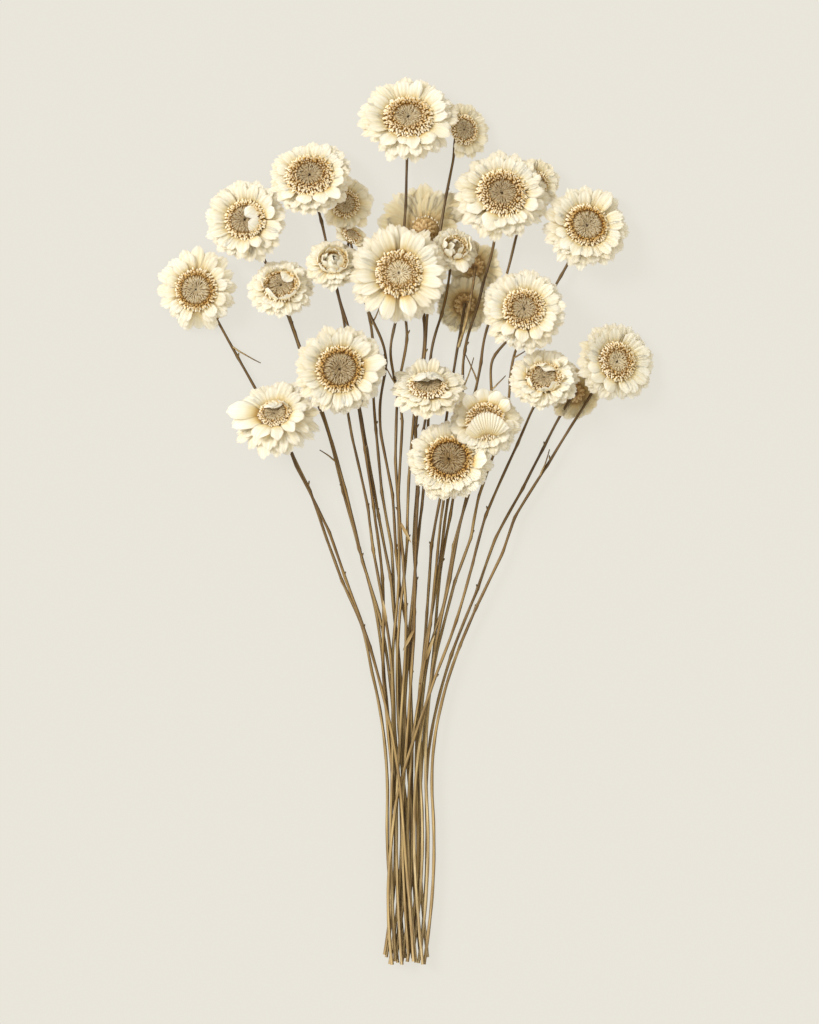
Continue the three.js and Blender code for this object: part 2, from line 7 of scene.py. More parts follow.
import logging
import math
from dataclasses import dataclass, field, replace
from enum import Enum
from typing import Callable, Iterator

import bpy
import numpy as np
from bpy.types import Material, NodeSocket, Object, ShaderNode
from mathutils import Matrix, Vector
from mathutils.bvhtree import BVHTree


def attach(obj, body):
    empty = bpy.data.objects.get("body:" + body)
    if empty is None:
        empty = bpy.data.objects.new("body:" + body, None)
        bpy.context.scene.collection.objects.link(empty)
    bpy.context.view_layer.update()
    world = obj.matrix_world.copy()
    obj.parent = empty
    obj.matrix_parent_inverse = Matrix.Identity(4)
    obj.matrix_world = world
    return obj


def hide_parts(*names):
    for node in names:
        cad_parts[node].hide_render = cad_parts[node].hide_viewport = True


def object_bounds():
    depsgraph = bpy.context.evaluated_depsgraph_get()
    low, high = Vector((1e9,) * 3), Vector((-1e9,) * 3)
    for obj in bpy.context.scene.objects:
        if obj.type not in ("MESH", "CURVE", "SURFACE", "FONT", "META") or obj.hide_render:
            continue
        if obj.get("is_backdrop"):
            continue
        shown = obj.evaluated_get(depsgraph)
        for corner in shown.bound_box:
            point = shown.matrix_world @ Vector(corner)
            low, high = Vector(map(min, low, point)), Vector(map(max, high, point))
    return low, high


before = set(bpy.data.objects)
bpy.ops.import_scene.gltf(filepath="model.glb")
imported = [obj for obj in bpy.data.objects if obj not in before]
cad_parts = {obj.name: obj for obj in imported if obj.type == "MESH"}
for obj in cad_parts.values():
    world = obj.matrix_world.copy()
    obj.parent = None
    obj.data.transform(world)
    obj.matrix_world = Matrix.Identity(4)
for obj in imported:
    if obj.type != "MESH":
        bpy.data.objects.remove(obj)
CAD_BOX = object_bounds()

LOG = logging.getLogger("star_flowers")

MM = 0.001
UP = np.array([0.0, 0.0, 1.0])
# Middle of the bunch's box in the frame in which the flowers are placed.
ORIGIN = np.array([-0.33, 0.97, 0.0])
BODY = "root"
# The places of the materials in the lists that Finishes holds.
BARK, SCALE, LEAF = range(3)
FLORET, HEART = range(2)
PETAL = 0

Triple = tuple[float, float, float]
Colour = tuple[float, float, float, float]
# The stops of a colour ramp: the place of each, and its red, green and blue from 0 to 255.
Stops = tuple[tuple[float, int, int, int], ...]


class Form(Enum):
    """How the petals of a head stand."""

    OPEN = "open"
    DROOPED = "drooped"
    CUP = "cup"
    BACK = "back"
    HALF = "half"
    FALLEN = "fallen"


class Slot(Enum):
    """The record's material slots."""

    STEM = "stem"
    PETALS = "petals"


@dataclass(frozen=True)
class Flower:
    """Where one head is, how it faces and which stem carries it.

    Attributes:
        number: Its number, which its nodes carry in their names.
        middle: The middle of its disc.
        lean: How far its axis is tilted from straight up.
        way: The direction on the ground in which it is tilted.
        reach: From its axis to the tips of its longest petals.
        disc: The radius of its disc.
        form: How its petals stand.
        layer: The layer of stems that its own stem lies in, from below.
        bow: How far its stem bows sideways between the waist and the head.
        neck: How far below its base the stem starts to rise to it.
        turn: The direction of its first petal.
        branch_of: The flower from whose stem it branches off.
    """

    number: int
    middle: Triple
    lean: float
    way: float
    reach: float
    disc: float
    form: Form
    layer: int
    bow: float = 0.0
    neck: float = 15.0
    turn: float = 90.0
    branch_of: int = 0

    # From the disc down to where the stem meets the calyx, in disc radii.
    BASE_DEPTH = 0.77

    @property
    def name(self) -> str:
        """The start of the names of its nodes and pieces."""
        return f"flower_{self.number:02d}"

    @property
    def turning(self) -> Matrix:
        """The rotation from the head's own frame."""
        way = math.radians(self.way)
        return Matrix.Rotation(math.radians(self.lean), 3, Vector((-math.sin(way), math.cos(way), 0)))

    @property
    def axis(self) -> np.ndarray:
        """The direction in which the disc faces."""
        return np.array(self.turning @ Vector((0, 0, 1)))

    @property
    def base(self) -> np.ndarray:
        """Where the stem meets the calyx."""
        return np.array(self.middle) - self.axis * self.BASE_DEPTH * self.disc

    def placed(self, points: np.ndarray) -> np.ndarray:
        """Moves points, one a row, from the head's own frame to the bunch."""
        return points @ np.array(self.turning).T + np.array(self.middle)


FLOWERS = (
    Flower(1, (1, 202, 15), 33, 90, 25, 12.2, Form.OPEN, 2, bow=-2),
    Flower(2, (29, 196, 10), 30, 20, 15, 7.5, Form.HALF, 2, bow=-5, turn=10),
    Flower(3, (-48, 173, 15), 33, 100, 21.5, 12, Form.OPEN, 1),
    Flower(4, (-30.5, 159, 8.2), 10, 0, 15, 7, Form.HALF, 0, turn=-20),
    Flower(5, (-80.5, 151, 10), 18, 130, 21.5, 10, Form.OPEN, 0),
    Flower(6, (-105, 116, 10), 8, 200, 21.3, 10.2, Form.DROOPED, 1),
    Flower(7, (-62.5, 118, 13), 30, 90, 17.5, 9, Form.CUP, 1),
    Flower(8, (-36.5, 130, 12.5), 30, 90, 15, 6.5, Form.CUP, 2),
    Flower(9, (-27, 143, 9), 50, 60, 9, 5, Form.HALF, 1, turn=60),
    Flower(10, (9.5, 146, 2.2), 165, 90, 24, 7, Form.FALLEN, 0, neck=12, turn=-90),
    Flower(11, (48, 164, 15), 22, 80, 24, 12.5, Form.OPEN, 2, bow=4),
    Flower(12, (64.5, 169, 8.4), 10, 20, 14, 6.5, Form.HALF, 1, turn=20),
    Flower(13, (90.5, 148, 12), 22, 60, 22.5, 10.7, Form.OPEN, 2),
    Flower(14, (-3.5, 124, 18.5), 8, 90, 26, 11.5, Form.OPEN, 3),
    Flower(15, (24.5, 137, 8.5), 25, 60, 12, 6, Form.CUP, 2, bow=-2),
    Flower(16, (34.5, 128, 2), 170, 90, 14, 6, Form.BACK, 0, branch_of=17),
    Flower(17, (29.5, 109, 0.2), 180, 90, 15, 7, Form.BACK, 0, neck=16),
    Flower(18, (59, 106, 16), 18, 90, 22, 10.5, Form.OPEN, 2),
    Flower(19, (105.5, 80, 11), 25, 20, 21, 9.7, Form.OPEN, 2),
    Flower(20, (69, 72, 15.5), 33, 90, 18, 8.5, Form.OPEN, 3),
    Flower(21, (85, 64, 1.6), 172, -60, 14, 6, Form.BACK, 0, neck=12),
    Flower(22, (-33, 76, 18), 5, 90, 23.5, 11.5, Form.OPEN, 3),
    Flower(23, (-65.5, 54, 16), 40, 100, 23, 8, Form.CUP, 3),
    Flower(24, (11, 68, 16), 48, 90, 20, 9.5, Form.CUP, 3),
    Flower(25, (21.5, 31, 20), 20, 90, 22, 12, Form.OPEN, 3),
    Flower(26, (39.5, 50, 17.5), 15, 90, 19, 9.5, Form.CUP, 3),
)


@dataclass(frozen=True)
class ShortPetal:
    """One of the short bright petals that lie over a disc or beside it.

    Attributes:
        way: Its direction from the axis of its head.
        foot: The radius at its root, in disc radii.
        length: Its length.
        width: Its width.
        rise: Its slope at its root.
        tip: Its slope at its tip.
        pleats: How many pleats it has, with a scallop at the end of each.
    """

    way: float
    foot: float
    length: float
    width: float
    rise: float
    tip: float
    pleats: int = 0


# The short petals of each head, each in the order of ShortPetal's sizes.
SHORT_PETALS = {
    number: tuple(ShortPetal(*row) for row in rows)
    for number, rows in {
        1: (
            (-124, 0.92, 10.8, 9.0, 45, -15),
            (-101, 0.95, 7.3, 6.5, 61, -4),
            (-79, 0.90, 9.8, 8.5, 49, -14),
            (-52, 0.95, 9.8, 9.5, 43, -14),
        ),
        3: (
            (-132, 0.95, 8.8, 7.0, 49, -14),
            (-102, 0.90, 8.8, 8.0, 55, -12),
            (-70, 0.90, 9.8, 8.0, 49, -14),
            (-42, 0.95, 11.8, 7.5, 41, -12),
        ),
        5: (
            (44, 0.96, 9.0, 8.5, 112, 178),
            (14, 0.95, 7.5, 7.0, 50, 12),
            (-30, 0.95, 8.0, 8.0, 106, 172),
            (-62, 0.95, 8.0, 7.0, 56, -4),
        ),
        7: ((58, 0.95, 8.0, 8.0, 106, 174),),
        9: (
            (92, 0.90, 6.0, 6.5, 40, 0),
            (152, 0.90, 7.3, 6.5, 57, -7),
            (206, 0.90, 7.3, 6.5, 45, -10),
        ),
        11: (
            (-150, 0.80, 11.8, 10.0, 53, -17),
            (-114, 0.84, 11.8, 10.5, 49, -15),
            (-22, 0.95, 8.8, 7.5, 63, -5),
        ),
        13: (
            (-163, 0.92, 8.3, 6.5, 53, -10),
            (-139, 0.92, 9.3, 7.5, 53, -13),
            (-114, 0.92, 9.3, 7.5, 51, -11),
        ),
        14: (
            (-107, 0.96, 14.3, 9.0, 49, -4),
            (-75, 0.96, 14.3, 9.0, 51, -5),
        ),
        15: (
            (8, 0.95, 8.0, 7.0, 48, 104),
            (-74, 0.90, 9.8, 8.0, 49, -10),
        ),
        18: (
            (-126, 0.92, 8.8, 7.5, 55, -11),
            (-96, 0.92, 9.3, 8.0, 53, -13),
            (-66, 0.92, 8.8, 7.5, 53, -10),
        ),
        19: (
            (-166, 0.90, 9.3, 7.5, 57, -10),
            (-139, 0.90, 10.3, 8.5, 53, -14),
            (-111, 0.90, 9.8, 8.5, 53, -13),
        ),
        20: (
            (70, 0.95, 8.5, 8.0, 106, 174),
            (104, 0.95, 7.0, 6.5, 94, 146),
            (172, 0.92, 9.5, 8.5, 52, 2),
            (-58, 0.96, 5.5, 6.0, 66, 112),
            (-92, 0.96, 5.0, 6.0, 60, 96),
        ),
        22: (
            (9, 0.92, 13.0, 10.0, 34, 8),
            (-17, 0.95, 10.0, 8.0, 32, 2),
        ),
        23: (
            (88, 0.96, 9.5, 8.0, 106, 176),
            (122, 0.96, 8.5, 7.0, 100, 166),
            (50, 0.96, 7.0, 6.5, 88, 140),
            (176, 0.90, 16.8, 13.0, 43, -10),
            (204, 0.90, 15.8, 12.0, 39, -10),
            (-112, 0.94, 12.8, 10.0, 53, -14),
            (-82, 0.96, 11.8, 8.0, 55, -14),
            (-54, 0.96, 10.3, 7.5, 59, -10),
            (-18, 0.95, 10.8, 8.5, 69, -5),
        ),
        24: (
            (152, 0.98, 10.5, 8.0, 98, 166),
            (120, 0.98, 11.5, 8.0, 106, 178),
            (88, 0.98, 10.0, 7.0, 98, 164),
            (58, 0.98, 12.0, 8.0, 106, 180),
            (28, 0.98, 11.0, 8.0, 96, 164),
        ),
        25: (
            (58, 0.92, 12.0, 10.5, 52, 26),
            (27, 0.92, 12.0, 10.5, 54, 32),
            (-5, 0.94, 10.5, 9.5, 48, 22),
        ),
        26: (
            (-84, 0.80, 14.5, 24.0, 84, 168, 15),
            (38, 0.92, 9.0, 8.0, 60, 40),
            (66, 0.92, 9.0, 8.5, 58, 30),
            (96, 0.92, 9.5, 8.5, 56, 30),
            (128, 0.92, 9.0, 8.0, 58, 36),
        ),
    }.items()
}


class Draw:
    """The same run of numbers from 0 to 1 for the same seed, as in the part's source."""

    WHOLE = 0xFFFFFFFF
    STEP = 0x6D2B79F5

    def __init__(self, seed: int) -> None:
        """Starts the run at any whole number."""
        self.state = seed & self.WHOLE

    def __call__(self) -> float:
        """Draws the next number.

        Returns:
            The number.
        """
        self.state = (self.state + self.STEP) & self.WHOLE
        mixed = ((self.state ^ (self.state >> 15)) * (self.state | 1)) & self.WHOLE
        mixed ^= (mixed + ((mixed ^ (mixed >> 7)) * (mixed | 61) & self.WHOLE)) & self.WHOLE
        return ((mixed ^ (mixed >> 14)) & self.WHOLE) / (self.WHOLE + 1)


def pressed(points: np.ndarray) -> np.ndarray:
    """Presses what would lie below the surface flat on it.

    Args:
        points: One point a row.

    Returns:
        The points, none of them below the surface.
    """
    lowest, soft = 0.03, 0.6
    moved = points.copy()
    low = moved[:, 2] < soft
    moved[low, 2] = lowest + (soft - lowest) * np.exp((moved[low, 2] - soft) / (soft - lowest))
    return moved


def slopes(share: np.ndarray, rise: float, tip: float) -> np.ndarray:
    """The slope along a petal, steep at its root and even further out.

    Args:
        share: How far along the petal, from 0 to 1.
        rise: The slope at the root in degrees.
        tip: The slope at the tip in degrees.

    Returns:
        The slopes in radians.
    """
    return np.radians(tip + (rise - tip) * (1 - share) ** 1.9)


def polar(turn: np.ndarray | float, radius: np.ndarray | float, height: np.ndarray | float) -> np.ndarray:
    """Points round the head's axis.

    Args:
        turn: Their directions in radians.
        radius: Their distances from the axis.
        height: Their heights.

    Returns:
        An array with x, y and z in its last dimension.
    """
    turn, radius, height = np.broadcast_arrays(turn, radius, height)
    return np.stack([radius * np.cos(turn), radius * np.sin(turn), height], axis=-1)


def ways(degrees: float) -> tuple[np.ndarray, np.ndarray]:
    """The direction on the ground at an angle, and the one to its left."""
    cosine, sine = math.cos(math.radians(degrees)), math.sin(math.radians(degrees))
    return np.array([cosine, sine, 0.0]), np.array([-sine, cosine, 0.0])


def apart(first: float, second: float) -> float:
    """The angle between two directions in degrees, from 0 to 180."""
    return abs((first - second + 180) % 360 - 180)


def arcs(start: np.ndarray, top: np.ndarray, end: np.ndarray, steps: int) -> np.ndarray:
    """Curves from points to other points, each bent towards a third one.

    Args:
        start: Where each curve starts, one point a row.
        top: The point that each curve bends towards.
        end: Where each curve ends.
        steps: How many points each curve gets.

    Returns:
        For each curve, its points.
    """
    share = np.linspace(0, 1, steps)[None, :, None]
    rest = 1 - share
    return rest**2 * start[:, None] + 2 * rest * share * top[:, None] + share**2 * end[:, None]


def ring_faces(steps: int, sides: int) -> tuple[np.ndarray, np.ndarray]:
    """Faces over rings of points, which are followed by one more point for each end.

    Args:
        steps: How many rings there are.
        sides: How many points each ring has.

    Returns:
        The faces between the rings, and those between the outer rings and the two end points.
    """
    grid = np.arange(steps * sides).reshape(steps, sides)
    after = np.roll(grid, -1, axis=1)
    quads = np.stack([grid[:-1], after[:-1], after[1:], grid[1:]], axis=2).reshape(-1, 4)
    first, last = np.full(sides, steps * sides), np.full(sides, steps * sides + 1)
    foot = np.stack([after[0], grid[0], first], axis=1)
    head = np.stack([grid[-1], after[-1], last], axis=1)
    return quads, np.concatenate([foot, head])


def with_tone(grain: np.ndarray, tone: float) -> np.ndarray:
    """The grain of one sheet with its tone, from 0 to 1, as the third number."""
    return np.column_stack([grain, np.full(len(grain), tone)])


def srgb(red: int, green: int, blue: int) -> Colour:
    """A colour as it looks on a screen, turned into the numbers that shaders use.

    Args:
        red: From 0 to 255.
        green: From 0 to 255.
        blue: From 0 to 255.

    Returns:
        Red, green, blue and alpha, from 0 to 1.
    """
    shares = [value / 255 for value in (red, green, blue)]
    linear = [s / 12.92 if s <= 0.04045 else ((s + 0.055) / 1.055) ** 2.4 for s in shares]
    return (*linear, 1.0)


class Skin:
    """The mesh of one piece while it is being put together, from sheets and tubes.

    Each point carries its grain, a vector that the finishes read, and its age, from 0 to 1.
    """

    # The angle from which an edge stays sharp.
    SHARP = 50.0

    def __init__(self) -> None:
        """Starts an empty skin."""
        self.points: list[np.ndarray] = []
        self.faces: list[np.ndarray] = []
        self.grains: list[np.ndarray] = []
        self.ages: list[np.ndarray] = []
        self.slots: list[np.ndarray] = []
        self.count = 0

    def add(
        self, points: np.ndarray, faces: list[np.ndarray], grain: np.ndarray, age: float, slot: int
    ) -> None:
        """Adds points and the faces between them.

        Args:
            points: One point a row.
            faces: Arrays with a face a row, whose point numbers count from this call's first point.
            grain: One vector for each point.
            age: How aged the surface is, from 0 to 1.
            slot: Which of the piece's finishes the faces have.
        """
        self.points.append(points)
        self.grains.append(grain)
        self.ages.append(np.full(len(points), age))
        for group in faces:
            self.faces.append(group + self.count)
            self.slots.append(np.full(len(group), slot))
        self.count += len(points)

    def absorb(self, other: "Skin") -> None:
        """Takes over everything that another skin holds.

        Args:
            other: The other skin.
        """
        self.points += other.points
        self.faces += [faces + self.count for faces in other.faces]
        self.grains += other.grains
        self.ages += other.ages
        self.slots += other.slots
        self.count += other.count

    def piece(self, name: str, finishes: list[Material]) -> Object:
        """Makes the piece.

        Args:
            name: The name of the piece.
            finishes: Its materials, in the order of the slots.

        Returns:
            The new object, in metres and in the frame of the part.
        """
        points = (pressed(np.concatenate(self.points)) - ORIGIN) * MM
        corners = np.concatenate([faces.ravel() for faces in self.faces])
        sides = np.concatenate([np.full(len(faces), faces.shape[1]) for faces in self.faces])
        mesh = bpy.data.meshes.new(name)
        mesh.vertices.add(len(points))
        mesh.vertices.foreach_set("co", points.astype(np.float32).ravel())
        mesh.loops.add(len(corners))
        mesh.loops.foreach_set("vertex_index", corners.astype(np.int32))
        mesh.polygons.add(len(sides))
        starts = np.concatenate([[0], np.cumsum(sides)[:-1]])
        mesh.polygons.foreach_set("loop_start", starts.astype(np.int32))
        mesh.polygons.foreach_set("material_index", np.concatenate(self.slots).astype(np.int32))
        mesh.update(calc_edges=True)
        grain = mesh.attributes.new("grain", "FLOAT_VECTOR", "POINT")
        grain.data.foreach_set("vector", np.concatenate(self.grains).astype(np.float32).ravel())
        age = mesh.attributes.new("age", "FLOAT", "POINT")
        age.data.foreach_set("value", np.concatenate(self.ages).astype(np.float32))
        mesh.shade_smooth()
        mesh.set_sharp_from_angle(angle=math.radians(self.SHARP))
        for finish in finishes:
            mesh.materials.append(finish)
        made = bpy.data.objects.new(name, mesh)
        bpy.context.scene.collection.objects.link(made)
        return made


@dataclass(frozen=True)
class Sheet:
    """A thin closed sheet between a grid of points, such as a petal or a scale.

    Attributes:
        middle: The grid of points, rows along the sheet and columns across it.
        thickness: Its thickness where it is thickest.
    """

    middle: np.ndarray
    thickness: float

    def closed(self) -> tuple[np.ndarray, np.ndarray, np.ndarray]:
        """Gives the sheet its two faces, which meet along its edge.

        Returns:
            The points, the faces with four points each, and (across, along) for each point.
        """
        rows, columns, _ = self.middle.shape
        along = np.gradient(self.middle, axis=0)
        across = np.gradient(self.middle, axis=1)
        normal = np.cross(across, along)
        normal /= np.maximum(np.linalg.norm(normal, axis=2, keepdims=True), 1e-9)
        half = normal * self.thickness / 2
        inner = (slice(1, -1), slice(1, -1))
        upper = self.middle.copy()
        upper[inner] += half[inner]
        lower = (self.middle - half)[inner]
        number = np.arange(rows * columns).reshape(rows, columns)
        below = number.copy()
        below[inner] = rows * columns + np.arange(lower.shape[0] * lower.shape[1]).reshape(lower.shape[:2])
        places = np.stack(np.meshgrid(np.linspace(-1, 1, columns), np.linspace(0, 1, rows)), axis=2)
        points = np.concatenate([upper.reshape(-1, 3), lower.reshape(-1, 3)])
        grain = np.concatenate([places.reshape(-1, 2), places[inner].reshape(-1, 2)])
        return points, np.concatenate([self._quads(number, False), self._quads(below, True)]), grain

    @staticmethod
    def _quads(number: np.ndarray, flipped: bool) -> np.ndarray:
        """Faces over a grid of points.

        Args:
            number: The grid of point numbers.
            flipped: Whether the faces look down.

        Returns:
            The faces, with four point numbers each.
        """
        a, b = number[:-1, :-1].ravel(), number[:-1, 1:].ravel()
        c, d = number[1:, 1:].ravel(), number[1:, :-1].ravel()
        return np.stack([a, d, c, b] if flipped else [a, b, c, d], axis=1)


@dataclass(frozen=True)
class Tubes:
    """Many round or ribbed tubes at once, each along its own line.

    Attributes:
        lines: For each tube, the points of its middle line.
        radii: The radius at each of these points.
        aside: For each tube, a direction that its line never takes.
        ribs: How far the ribs stand out, as a share of the radius, at each side.
        capped: Whether a tube ends in a flat face rather than in a point.
    """

    lines: np.ndarray
    radii: np.ndarray
    aside: np.ndarray
    ribs: np.ndarray
    capped: bool = False

    def closed(self) -> tuple[np.ndarray, list[np.ndarray], np.ndarray]:
        """Makes the tubes.

        Returns:
            The points, the faces with four points and with three, and (across, along) for each point.
        """
        tubes, steps, _ = self.lines.shape
        sides = len(self.ribs)
        forward = np.gradient(self.lines, axis=1)
        forward /= np.linalg.norm(forward, axis=2, keepdims=True)
        left = np.cross(forward, self.aside[:, None, :])
        left /= np.linalg.norm(left, axis=2, keepdims=True)
        up = np.cross(left, forward)
        turn = 2 * np.pi * np.arange(sides) / sides
        reach = self.radii[:, :, None] * (1 + self.ribs)[None, None, :]
        ring = (
            self.lines[:, :, None, :]
            + (reach * np.cos(turn))[..., None] * left[:, :, None, :]
            + (reach * np.sin(turn))[..., None] * up[:, :, None, :]
        )
        point = 0.0 if self.capped else self.radii[:, -1:, None]
        ends = [self.lines[:, :1], self.lines[:, -1:] + forward[:, -1:] * point]
        points = np.concatenate([ring.reshape(tubes, -1, 3), *ends], axis=1)
        shift = (np.arange(tubes) * points.shape[1])[:, None, None]
        faces = [(group[None] + shift).reshape(-1, group.shape[1]) for group in ring_faces(steps, sides)]
        along = np.repeat(np.linspace(0, 1, steps), sides)
        across = np.tile(np.linspace(0, 1, sides, endpoint=False), steps)
        grain = np.stack([np.append(across, [0, 0]), np.append(along, [0, 1])], axis=1)
        return points.reshape(-1, 3), faces, np.tile(grain, (tubes, 1))

    def add_to(
        self,
        skin: Skin,
        tones: np.ndarray,
        age: float,
        slot: int,
        place: Callable[[np.ndarray], np.ndarray] | None = None,
    ) -> None:
        """Puts the tubes into a skin.

        Args:
            skin: The skin of the piece.
            tones: A number from 0 to 1 for each tube.
            age: How aged they are.
            slot: Which of the piece's finishes they have.
            place: A function that moves the points to their place, if they aren't there yet.
        """
        points, faces, grain = self.closed()
        each = len(points) // len(tones)
        grain = np.column_stack([grain, np.repeat(tones, each)])
        skin.add(points if place is None else place(points), faces, grain, age, slot)
        if self.capped:
            skin.ages[-1][each - 2 :: each] = 1.0


def grown(
    skin: Skin, line: np.ndarray, radii: np.ndarray, ribs: np.ndarray, tone: float, cut: bool = True
) -> None:
    """Adds one woody tube, which never runs straight up, to a skin.

    Args:
        skin: The skin.
        line: The points of its middle line.
        radii: The radius at each of these points.
        ribs: How far the ribs stand out, as a share of the radius, at each side.
        tone: A number from 0 to 1 for its colour.
        cut: Whether it ends in a pale flat cut.
    """
    Tubes(line[None], radii[None], UP[None], ribs, cut).add_to(skin, np.array([tone]), 0.0, BARK)


class Shading:
    """A short way to write the nodes of one material."""

    def __init__(self, name: str) -> None:
        """Starts a material with its surface shader and the three numbers of its grain.

        Args:
            name: The name of the material.
        """
        self.material = bpy.data.materials.new(name)
        self.material.use_nodes = True
        self.tree = self.material.node_tree
        self.surface = self.tree.nodes["Principled BSDF"]
        split = self.node("ShaderNodeSeparateXYZ", {0: self.stored("grain").outputs["Vector"]})
        self.across, self.along, self.tone = split.outputs

    def node(self, kind: str, inputs: dict, **settings: object) -> ShaderNode:
        """Adds a node.

        Args:
            kind: Its Blender type.
            inputs: A value or another node's output for each named or numbered input.
            **settings: Its own properties.

        Returns:
            The node.
        """
        made = self.tree.nodes.new(kind)
        for key, value in settings.items():
            setattr(made, key, value)
        for key, value in inputs.items():
            self.feed(made.inputs[key], value)
        return made

    def feed(self, socket: NodeSocket, value: object) -> None:
        """Links an output to an input, or sets the input's own value.

        Args:
            socket: The input.
            value: The output or the value.
        """
        if isinstance(value, NodeSocket):
            self.tree.links.new(value, socket)
        else:
            socket.default_value = value

    def stored(self, name: str) -> ShaderNode:
        """The node that reads what the points of the mesh carry under a name."""
        return self.node("ShaderNodeAttribute", {}, attribute_name=name, attribute_type="GEOMETRY")

    def age(self) -> NodeSocket:
        """How aged the surface is."""
        return self.stored("age").outputs["Fac"]

    def maths(self, operation: str, first: object, second: object = 0.0) -> NodeSocket:
        """One sum of two numbers."""
        return self.node("ShaderNodeMath", {0: first, 1: second}, operation=operation).outputs[0]

    def times(self, first: object, second: object) -> NodeSocket:
        """The product of two numbers."""
        return self.maths("MULTIPLY", first, second)

    def plus(self, first: object, second: object) -> NodeSocket:
        """The sum of two numbers."""
        return self.maths("ADD", first, second)

    def swing(self, number: object, much: float) -> NodeSocket:
        """A number from 0 to 1, centred on 0 and multiplied."""
        return self.times(self.plus(number, -0.5), much)

    def raised(self, number: object, least: float, gain: float) -> NodeSocket:
        """The least value where a number is 0, and the gain more than it where the number is 1."""
        return self.plus(self.times(number, gain), least)

    def vector(self, x: object, y: object, z: object) -> NodeSocket:
        """A vector from three numbers."""
        return self.node("ShaderNodeCombineXYZ", {0: x, 1: y, 2: z}).outputs[0]

    def noise(self, at: object, scale: float, detail: float = 3.0) -> NodeSocket:
        """Smooth noise from 0 to 1."""
        return self.node("ShaderNodeTexNoise", {"Vector": at, "Scale": scale, "Detail": detail}).outputs[0]

    def clouds(self, stretch: Triple, scale: float, detail: float = 3.0) -> NodeSocket:
        """Smooth noise over the grain.

        Args:
            stretch: What the three numbers of the grain are multiplied by.
            scale: The scale of the noise.
            detail: How much fine detail it has.

        Returns:
            The noise, from 0 to 1.
        """
        grain = (self.across, self.along, self.tone)
        at = self.vector(*(self.times(number, factor) for number, factor in zip(grain, stretch)))
        return self.noise(at, scale, detail)

    def ramp(self, share: object, stops: Stops) -> NodeSocket:
        """Colours along a number.

        Args:
            share: The number.
            stops: The place and the colour of each stop.

        Returns:
            The colour.
        """
        made = self.node("ShaderNodeValToRGB", {0: share})
        elements = made.color_ramp.elements
        while len(elements) < len(stops):
            elements.new(0.5)
        for element, (place, *colour) in zip(elements, stops):
            element.position = place
            element.color = srgb(*colour)
        return made.outputs[0]

    def mixed(self, share: object, first: object, second: object, blend: str = "MIX") -> NodeSocket:
        """Two colours mixed.

        Args:
            share: How much of the second, from 0 to 1.
            first: The first colour.
            second: The second colour.
            blend: Blender's name for the way to mix them.

        Returns:
            The mixed colour.
        """
        made = self.node("ShaderNodeMix", {}, data_type="RGBA", blend_type=blend)
        for index, value in ((0, share), (6, first), (7, second)):
            self.feed(made.inputs[index], value)
        return made.outputs[2]

    def darkened(self, share: object, colour: object, by: object) -> NodeSocket:
        """A colour multiplied by another one, as far as the share says."""
        return self.mixed(share, colour, by, "MULTIPLY")

    def between(self, value: object, low: float, high: float, most: float = 1.0) -> NodeSocket:
        """0 at low and before it, the most at high and past it, and even in between."""
        inputs = {0: value, 1: low, 2: high, 4: most}
        return self.node("ShaderNodeMapRange", inputs, clamp=True).outputs[0]

    def finish(self, colour: object, roughness: object, relief: object, depth: float) -> Material:
        """Joins colour, roughness and relief to the surface shader.

        Args:
            colour: The output of the colour.
            roughness: The output of the roughness.
            relief: The output of the relief, from 0 to 1.
            depth: The depth of the relief in millimetres.

        Returns:
            The material.
        """
        bump = self.node("ShaderNodeBump", {"Height": relief, "Distance": depth * MM, "Strength": 1.0})
        self.feed(self.surface.inputs["Base Color"], colour)
        self.feed(self.surface.inputs["Roughness"], roughness)
        self.feed(self.surface.inputs["Normal"], bump.outputs[0])
        return self.material


@dataclass(frozen=True)
class PetalFinish:
    """Dry paper with fine veins from root to tip, pale outside and golden to dark brown in the throat:
    partly the petal's own golden tint, partly painted shade where the disc shades the roots.
    """

    veins: float = 11.0
    fibres: float = 30.0
    depth: float = 0.12
    # Both ramps darken towards the root: partly the real golden tint of the throat, partly painted shade by
    # the disc.
    fresh: Stops = (
        (0.0, 140, 102, 42),
        (0.15, 190, 154, 88),
        (0.3, 234, 212, 162),
        (0.5, 250, 241, 214),
        (0.75, 254, 250, 232),
        (1.0, 255, 252, 238),
    )
    faded: Stops = ((0.0, 160, 124, 68), (0.2, 206, 180, 132), (0.45, 224, 206, 162), (1.0, 234, 220, 184))
    vein: Colour = srgb(240, 222, 180)
    tint: Colour = srgb(247, 238, 216)

    def build(self) -> Material:
        """Makes the material.

        Returns:
            The material.
        """
        shading = Shading("petal_paper")
        veins = shading.clouds((self.veins, 1.6, 47.0), 0.5, 4.0)
        fibres = shading.clouds((self.fibres, 1.6, 47.0), 0.6, 2.0)
        fresh, faded = (shading.ramp(shading.along, stops) for stops in (self.fresh, self.faded))
        aged = shading.mixed(shading.age(), fresh, faded)
        veined = shading.darkened(shading.between(veins, 0.42, 0.68, 0.45), aged, self.vein)
        tinted = shading.darkened(shading.times(shading.tone, 0.25), veined, self.tint)
        relief = shading.plus(shading.times(veins, 0.7), shading.times(fibres, 0.3))
        shading.surface.inputs["Specular IOR Level"].default_value = 0.35
        shading.surface.inputs["Sheen Weight"].default_value = 0.1
        shading.surface.inputs["Subsurface Weight"].default_value = 0.6
        shading.surface.inputs["Subsurface Radius"].default_value = (1.0, 1.0, 1.0)
        shading.surface.inputs["Subsurface Scale"].default_value = 0.001
        return shading.finish(tinted, shading.raised(fibres, 0.45, 0.25), relief, self.depth)


